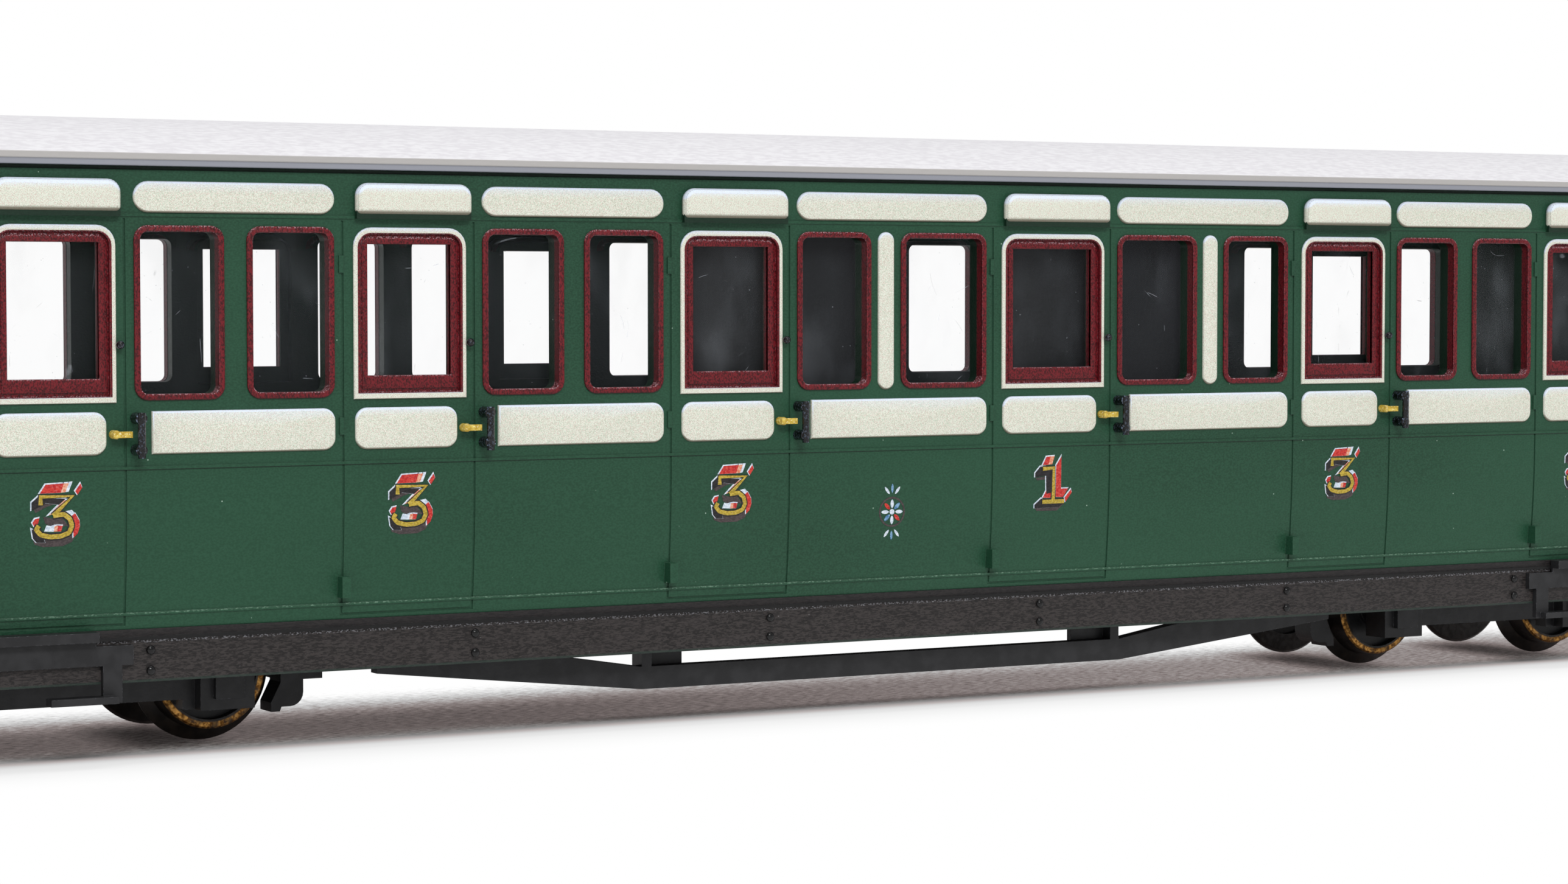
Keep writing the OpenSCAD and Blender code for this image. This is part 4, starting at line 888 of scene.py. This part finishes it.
def ornament():
    """Small rosette of eight leaves between two sprigs, in blue, white, red and grey."""
    x, z = ORNAMENT_X, ORNAMENT_Z
    ring = [arc(x, z, 0.86, 0, 345, 23), arc(x, z, 0.76, 0, 345, 23)]
    leaves = {BLUE_INK: [], RED_INK: [], WHITE_INK: [arc(x, z, 0.16, 0, 330, 11)]}
    for i in range(8):
        a = 45 * i
        leaf = lozenge(x + LEAF_CENTRE * math.cos(math.radians(a)),
                       z + LEAF_CENTRE * math.sin(math.radians(a)), 0.5, 0.22, a)
        leaves[RED_INK if i % 4 == 3 else (BLUE_INK if i % 2 else WHITE_INK)].append(leaf)
    for sign in (-1, 1):
        for k in (-1, 0, 1):
            leaves[WHITE_INK if k else BLUE_INK].append(
                lozenge(x + 0.34 * k, z + sign * (1.22 + 0.12 * (1 - abs(k))), 0.52, 0.16,
                        90 - 38 * k * sign))
    for side, _, sign in SIDES:
        on_side("ornament_ring_" + side, print_plate(ring, 0.004), sign, SHADE_INK, "numeral_print")
        for name, material in (("blue", BLUE_INK), ("red", RED_INK), ("white", WHITE_INK)):
            parts = [print_plate([outline], 0.008) for outline in leaves[material]]
            on_side(f"ornament_{name}_{side}", joined(parts), sign, material, "numeral_print")


# ---------------------------------------------------------------- roof

ROOF_HALF = roof_high.y
ROOF_LEN_HALF = roof_high.x
ROOF_EDGE_Z = RIM_Z + 0.65
ROOF_RISE = roof_high.z - ROOF_EDGE_Z
ROOF_R = (ROOF_HALF ** 2 + ROOF_RISE ** 2) / (2 * ROOF_RISE)
ROOF_AXIS_Z = ROOF_EDGE_Z + ROOF_RISE - ROOF_R
RIM_STEP = 0.12
RIM_STEP_H = 0.3
ROOF_T = 1.0


def roof_profile():
    """Cross-section of the roof as (y, z), anticlockwise."""
    half_angle = math.degrees(math.asin(ROOF_HALF / ROOF_R))
    outer = arc(0, ROOF_AXIS_Z, ROOF_R, 90 - half_angle, 90 + half_angle, 40)
    under_r = ROOF_R - ROOF_T
    rim_half = ROOF_HALF - RIM_STEP
    under_angle = math.degrees(math.acos((RIM_Z - ROOF_AXIS_Z) / under_r))
    under = arc(0, ROOF_AXIS_Z, under_r, 90 + under_angle, 90 - under_angle, 32)
    step_z = RIM_Z + RIM_STEP_H
    return (outer + [(-ROOF_HALF, step_z), (-rim_half, step_z), (-rim_half, RIM_Z)]
            + under + [(rim_half, RIM_Z), (rim_half, step_z), (ROOF_HALF, step_z)])


def smooth_roof():
    """Roof with a true arc, stepped rim and slightly rounded edges."""
    profile = roof_profile()
    shape = bmesh.new()
    rings = [[shape.verts.new((x, y, z)) for y, z in profile]
             for x in (-ROOF_LEN_HALF, ROOF_LEN_HALF)]
    count = len(profile)
    for i in range(count):
        j = (i + 1) % count
        shape.faces.new((rings[0][i], rings[0][j], rings[1][j], rings[1][i]))
    shape.faces.new(rings[1])
    shape.faces.new(list(reversed(rings[0])))
    bmesh.ops.recalc_face_normals(shape, faces=shape.faces)
    mesh = bpy.data.meshes.new("smooth_roof")
    shape.to_mesh(mesh)
    shape.free()
    piece = on_side("smooth_roof", mesh, 1, ROOF, "roof_grey", angle=25)
    bevel = piece.modifiers.new("edge", "BEVEL")
    bevel.width = 0.06 * MM
    bevel.segments = 3
    bevel.limit_method = "ANGLE"
    bevel.angle_limit = math.radians(35)
    bevel.harden_normals = True
    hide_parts("roof")


# ---------------------------------------------------------------- rivets, by Geometry Nodes

def rivet_tree():
    """Grid of domed rivet heads: columns along X, rows along Z, on an upright face."""
    tree = bpy.data.node_groups.new("rivet_rows", "GeometryNodeTree")
    make = tree.interface.new_socket
    make("Geometry", in_out="OUTPUT", socket_type="NodeSocketGeometry")
    for name in ("Pitch", "Row Gap", "Radius"):
        make(name, in_out="INPUT", socket_type="NodeSocketFloat")
    make("Columns", in_out="INPUT", socket_type="NodeSocketInt")
    make("Finish", in_out="INPUT", socket_type="NodeSocketMaterial")
    add = tree.nodes.new
    given, result = add("NodeGroupInput"), add("NodeGroupOutput")
    grid, dome = add("GeometryNodeMeshGrid"), add("GeometryNodeMeshUVSphere")
    span, less = add("ShaderNodeMath"), add("ShaderNodeMath")
    less.operation, span.operation = "SUBTRACT", "MULTIPLY"
    less.inputs[1].default_value = 1.0
    link_to = tree.links.new
    link_to(given.outputs["Columns"], less.inputs[0])
    link_to(less.outputs[0], span.inputs[0])
    link_to(given.outputs["Pitch"], span.inputs[1])
    link_to(span.outputs[0], grid.inputs["Size X"])
    link_to(given.outputs["Row Gap"], grid.inputs["Size Y"])
    link_to(given.outputs["Columns"], grid.inputs["Vertices X"])
    grid.inputs["Vertices Y"].default_value = 2
    dome.inputs["Segments"].default_value = 16
    dome.inputs["Rings"].default_value = 10
    link_to(given.outputs["Radius"], dome.inputs["Radius"])
    scatter = add("GeometryNodeInstanceOnPoints")
    scatter.inputs["Scale"].default_value = (1, 1, 0.62)
    link_to(grid.outputs["Mesh"], scatter.inputs["Points"])
    link_to(dome.outputs["Mesh"], scatter.inputs["Instance"])
    turn, real, paint = (add("GeometryNodeTransform"), add("GeometryNodeRealizeInstances"),
                         add("GeometryNodeSetMaterial"))
    turn.inputs["Rotation"].default_value = (math.pi / 2, 0, 0)
    link_to(scatter.outputs[0], real.inputs[0])
    link_to(real.outputs[0], turn.inputs["Geometry"])
    link_to(turn.outputs["Geometry"], paint.inputs["Geometry"])
    link_to(given.outputs["Finish"], paint.inputs["Material"])
    link_to(paint.outputs["Geometry"], result.inputs["Geometry"])
    return tree


def grown_by_nodes(tree, values):
    """Plain mesh of a geometry tree with its named inputs set."""
    holder = bpy.data.objects.new("holder", bpy.data.meshes.new("holder"))
    bpy.context.scene.collection.objects.link(holder)
    modifier = holder.modifiers.new("grow", "NODES")
    modifier.node_group = tree
    for item in tree.interface.items_tree:
        if item.item_type == "SOCKET" and item.in_out == "INPUT" and item.name in values:
            modifier[item.identifier] = values[item.name]
    holder.update_tag()
    depsgraph = bpy.context.evaluated_depsgraph_get()
    mesh = bpy.data.meshes.new_from_object(holder.evaluated_get(depsgraph))
    bpy.data.objects.remove(holder)
    return mesh


def solebar_rivets():
    low_z, high_z = SOLEBAR_Z + RIVET_MARGINS[0], LEDGE_Z - RIVET_MARGINS[1]
    tree = rivet_tree()
    for side, _, sign in SIDES:
        mesh = grown_by_nodes(tree, {"Pitch": RIVET_PITCH, "Row Gap": high_z - low_z,
                                     "Columns": RIVET_COLUMNS, "Finish": RIVET,
                                     "Radius": RIVET_D / 2 + RIVET_CAP})
        mesh.transform(Matrix.Translation((0, -SOLEBAR_HALF - RIVET_SEAT, (low_z + high_z) / 2)))
        on_side("solebar_rivets_" + side, mesh, sign, RIVET, "underframe_black", angle=60)


# ---------------------------------------------------------------- stage, light and camera

AMBIENT = 0.5
TOP_POWER = 1.3
FRONT_POWER = 1.7
FLOOR_SIZE = 3.0
FLOOR_COLOUR = srgb(238, 238, 238)
VIEW_AZIMUTH = 29.5
VIEW_PITCH = 2.43
VIEW_FROM = Vector((-104.4, -182.4, 23.9)) * MM
LENS = 80.6
SENSOR = 36


def soft_lamp(name, place, size, energy, target=(0, 0, 0.015)):
    data = bpy.data.lights.new(name, "AREA")
    data.shape = "RECTANGLE"
    data.size, data.size_y = size
    data.energy = energy
    lamp = bpy.data.objects.new(name, data)
    bpy.context.scene.collection.objects.link(lamp)
    lamp.location = place
    lamp.rotation_euler = (Vector(target) - Vector(place)).to_track_quat("-Z", "Y").to_euler()


def seen_directly(finish):
    """1 for what the camera, a mirror or clear plastic shows, 0 for light that falls on things."""
    path = finish.add("LightPath", output="Is Camera Ray")
    for name in ("Is Glossy Ray", "Is Transmission Ray"):
        path = path.math("MAXIMUM", path, finish.add("LightPath", output=name))
    return path


def white_surroundings():
    world = bpy.data.worlds.new("studio")
    bpy.context.scene.world = world
    world.use_nodes = True
    tree = world.node_tree
    background = tree.nodes["Background"]
    path = tree.nodes.new("ShaderNodeLightPath")
    either = tree.nodes.new("ShaderNodeMath")
    either.operation = "MAXIMUM"
    level = tree.nodes.new("ShaderNodeMapRange")
    tree.links.new(path.outputs["Is Camera Ray"], either.inputs[0])
    tree.links.new(path.outputs["Is Transmission Ray"], either.inputs[1])
    tree.links.new(either.outputs[0], level.inputs["Value"])
    level.inputs["To Min"].default_value = AMBIENT
    level.inputs["To Max"].default_value = 1.0
    background.inputs["Color"].default_value = (1, 1, 1, 1)
    tree.links.new(level.outputs["Result"], background.inputs["Strength"])


def pale_floor():
    """White floor; a painted brownish, brushed shadow band under the coach, pure white further off.
    """
    shape = bmesh.new()
    bmesh.ops.create_grid(shape, x_segments=1, y_segments=1, size=FLOOR_SIZE)
    mesh = bpy.data.meshes.new("floor")
    shape.to_mesh(mesh)
    shape.free()
    f = Finish("pale_floor", FLOOR_COLOUR, 0.8, specular_ior_level=0.1)
    across = f.axis("Y")
    brushed = f.noise(0.16, (4, 1, 1), 3, 0.7)
    # painted shadow: a brown-grey brushed band in the floor's colour under the coach
    under = f.mask(across, -9, -6) * f.mask(across, 30, 16)
    wear_and_shade = f.mix(f.mask(brushed, 0.4, 0.6), srgb(120, 110, 107), srgb(236, 231, 228))
    f.set("Base Color", f.mix(under, FLOOR_COLOUR, wear_and_shade))
    # white glow for direct views; its share fades across the band as a painted shadow gradient,
    # plus a painted sheen
    uneven = across + (brushed - 0.5) * 14
    white = f.tree.nodes.new("ShaderNodeEmission")
    blend = f.tree.nodes.new("ShaderNodeMixShader")
    ends = f.mask(f.size_of(f.axis("X")), 62, 74)
    streaks = f.mask(f.noise(0.12, (5, 1, 1), 2, 0.6), 0.3, 0.7) * 1.1 + 0.45
    sheen = f.mask(across, -8.5, -5) * (f.mask(f.axis("X"), -30, 30) * 0.15 + 0.11) * streaks
    outside = f.mask(uneven, -2, 14) ** 1.9 + sheen
    outside = outside.math("MINIMUM", outside, 1.0)
    front = f.mask(across, -7.6, -11) * 0.65 + f.mask(across, -10, -19) * 0.35
    outside = outside.math("MAXIMUM", outside, front)
    outside = outside.math("MAXIMUM", outside, ends)
    # painted contact shadow: less white glow round the foot of each wheel
    axle = f.size_of(f.size_of(f.size_of(f.axis("X") + 2) - BOGIE_X) - HALF_WHEELBASE)
    wheel_contact_shadow = f.mask(axle, 4.5, 0.5) * f.mask(across, -8.8, -7) * f.mask(across, 8, 0)
    outside = outside * (wheel_contact_shadow * -0.85 + 1)
    # painted brownish tint of the glow inside the shadow band
    f.put(white.inputs["Color"],
          f.mix(f.mask(outside, 0.15, 0.55), srgb(255, 234, 231), srgb(255, 255, 255)))
    f.put(blend.inputs[0], outside * seen_directly(f))
    f.tree.links.new(f.shader.outputs[0], blend.inputs[1])
    f.tree.links.new(white.outputs[0], blend.inputs[2])
    f.tree.links.new(blend.outputs[0], f.output.inputs[0])
    floor = link("floor", mesh, f.material)


def camera():
    data = bpy.data.cameras.new("camera")
    data.lens = LENS
    data.sensor_width = SENSOR
    data.clip_start = 0.005
    data.clip_end = 20
    cam = bpy.data.objects.new("camera", data)
    bpy.context.scene.collection.objects.link(cam)
    cam.location = VIEW_FROM
    cam.rotation_euler = (math.radians(90 - VIEW_PITCH), 0, -math.radians(VIEW_AZIMUTH))
    bpy.context.scene.camera = cam


def studio():
    bpy.context.scene.view_settings.view_transform = "Standard"
    white_surroundings()
    pale_floor()
    soft_lamp("top_softbox", (0.0, -0.05, 0.6), (0.4, 0.16), TOP_POWER)
    soft_lamp("front_softbox", (-0.12, -0.52, 0.36), (0.3, 0.12), FRONT_POWER)


camera()
studio()
finish_nodes()
smooth_roof()
dress_sides()
number_doors()
ornament()
solebar_rivets()
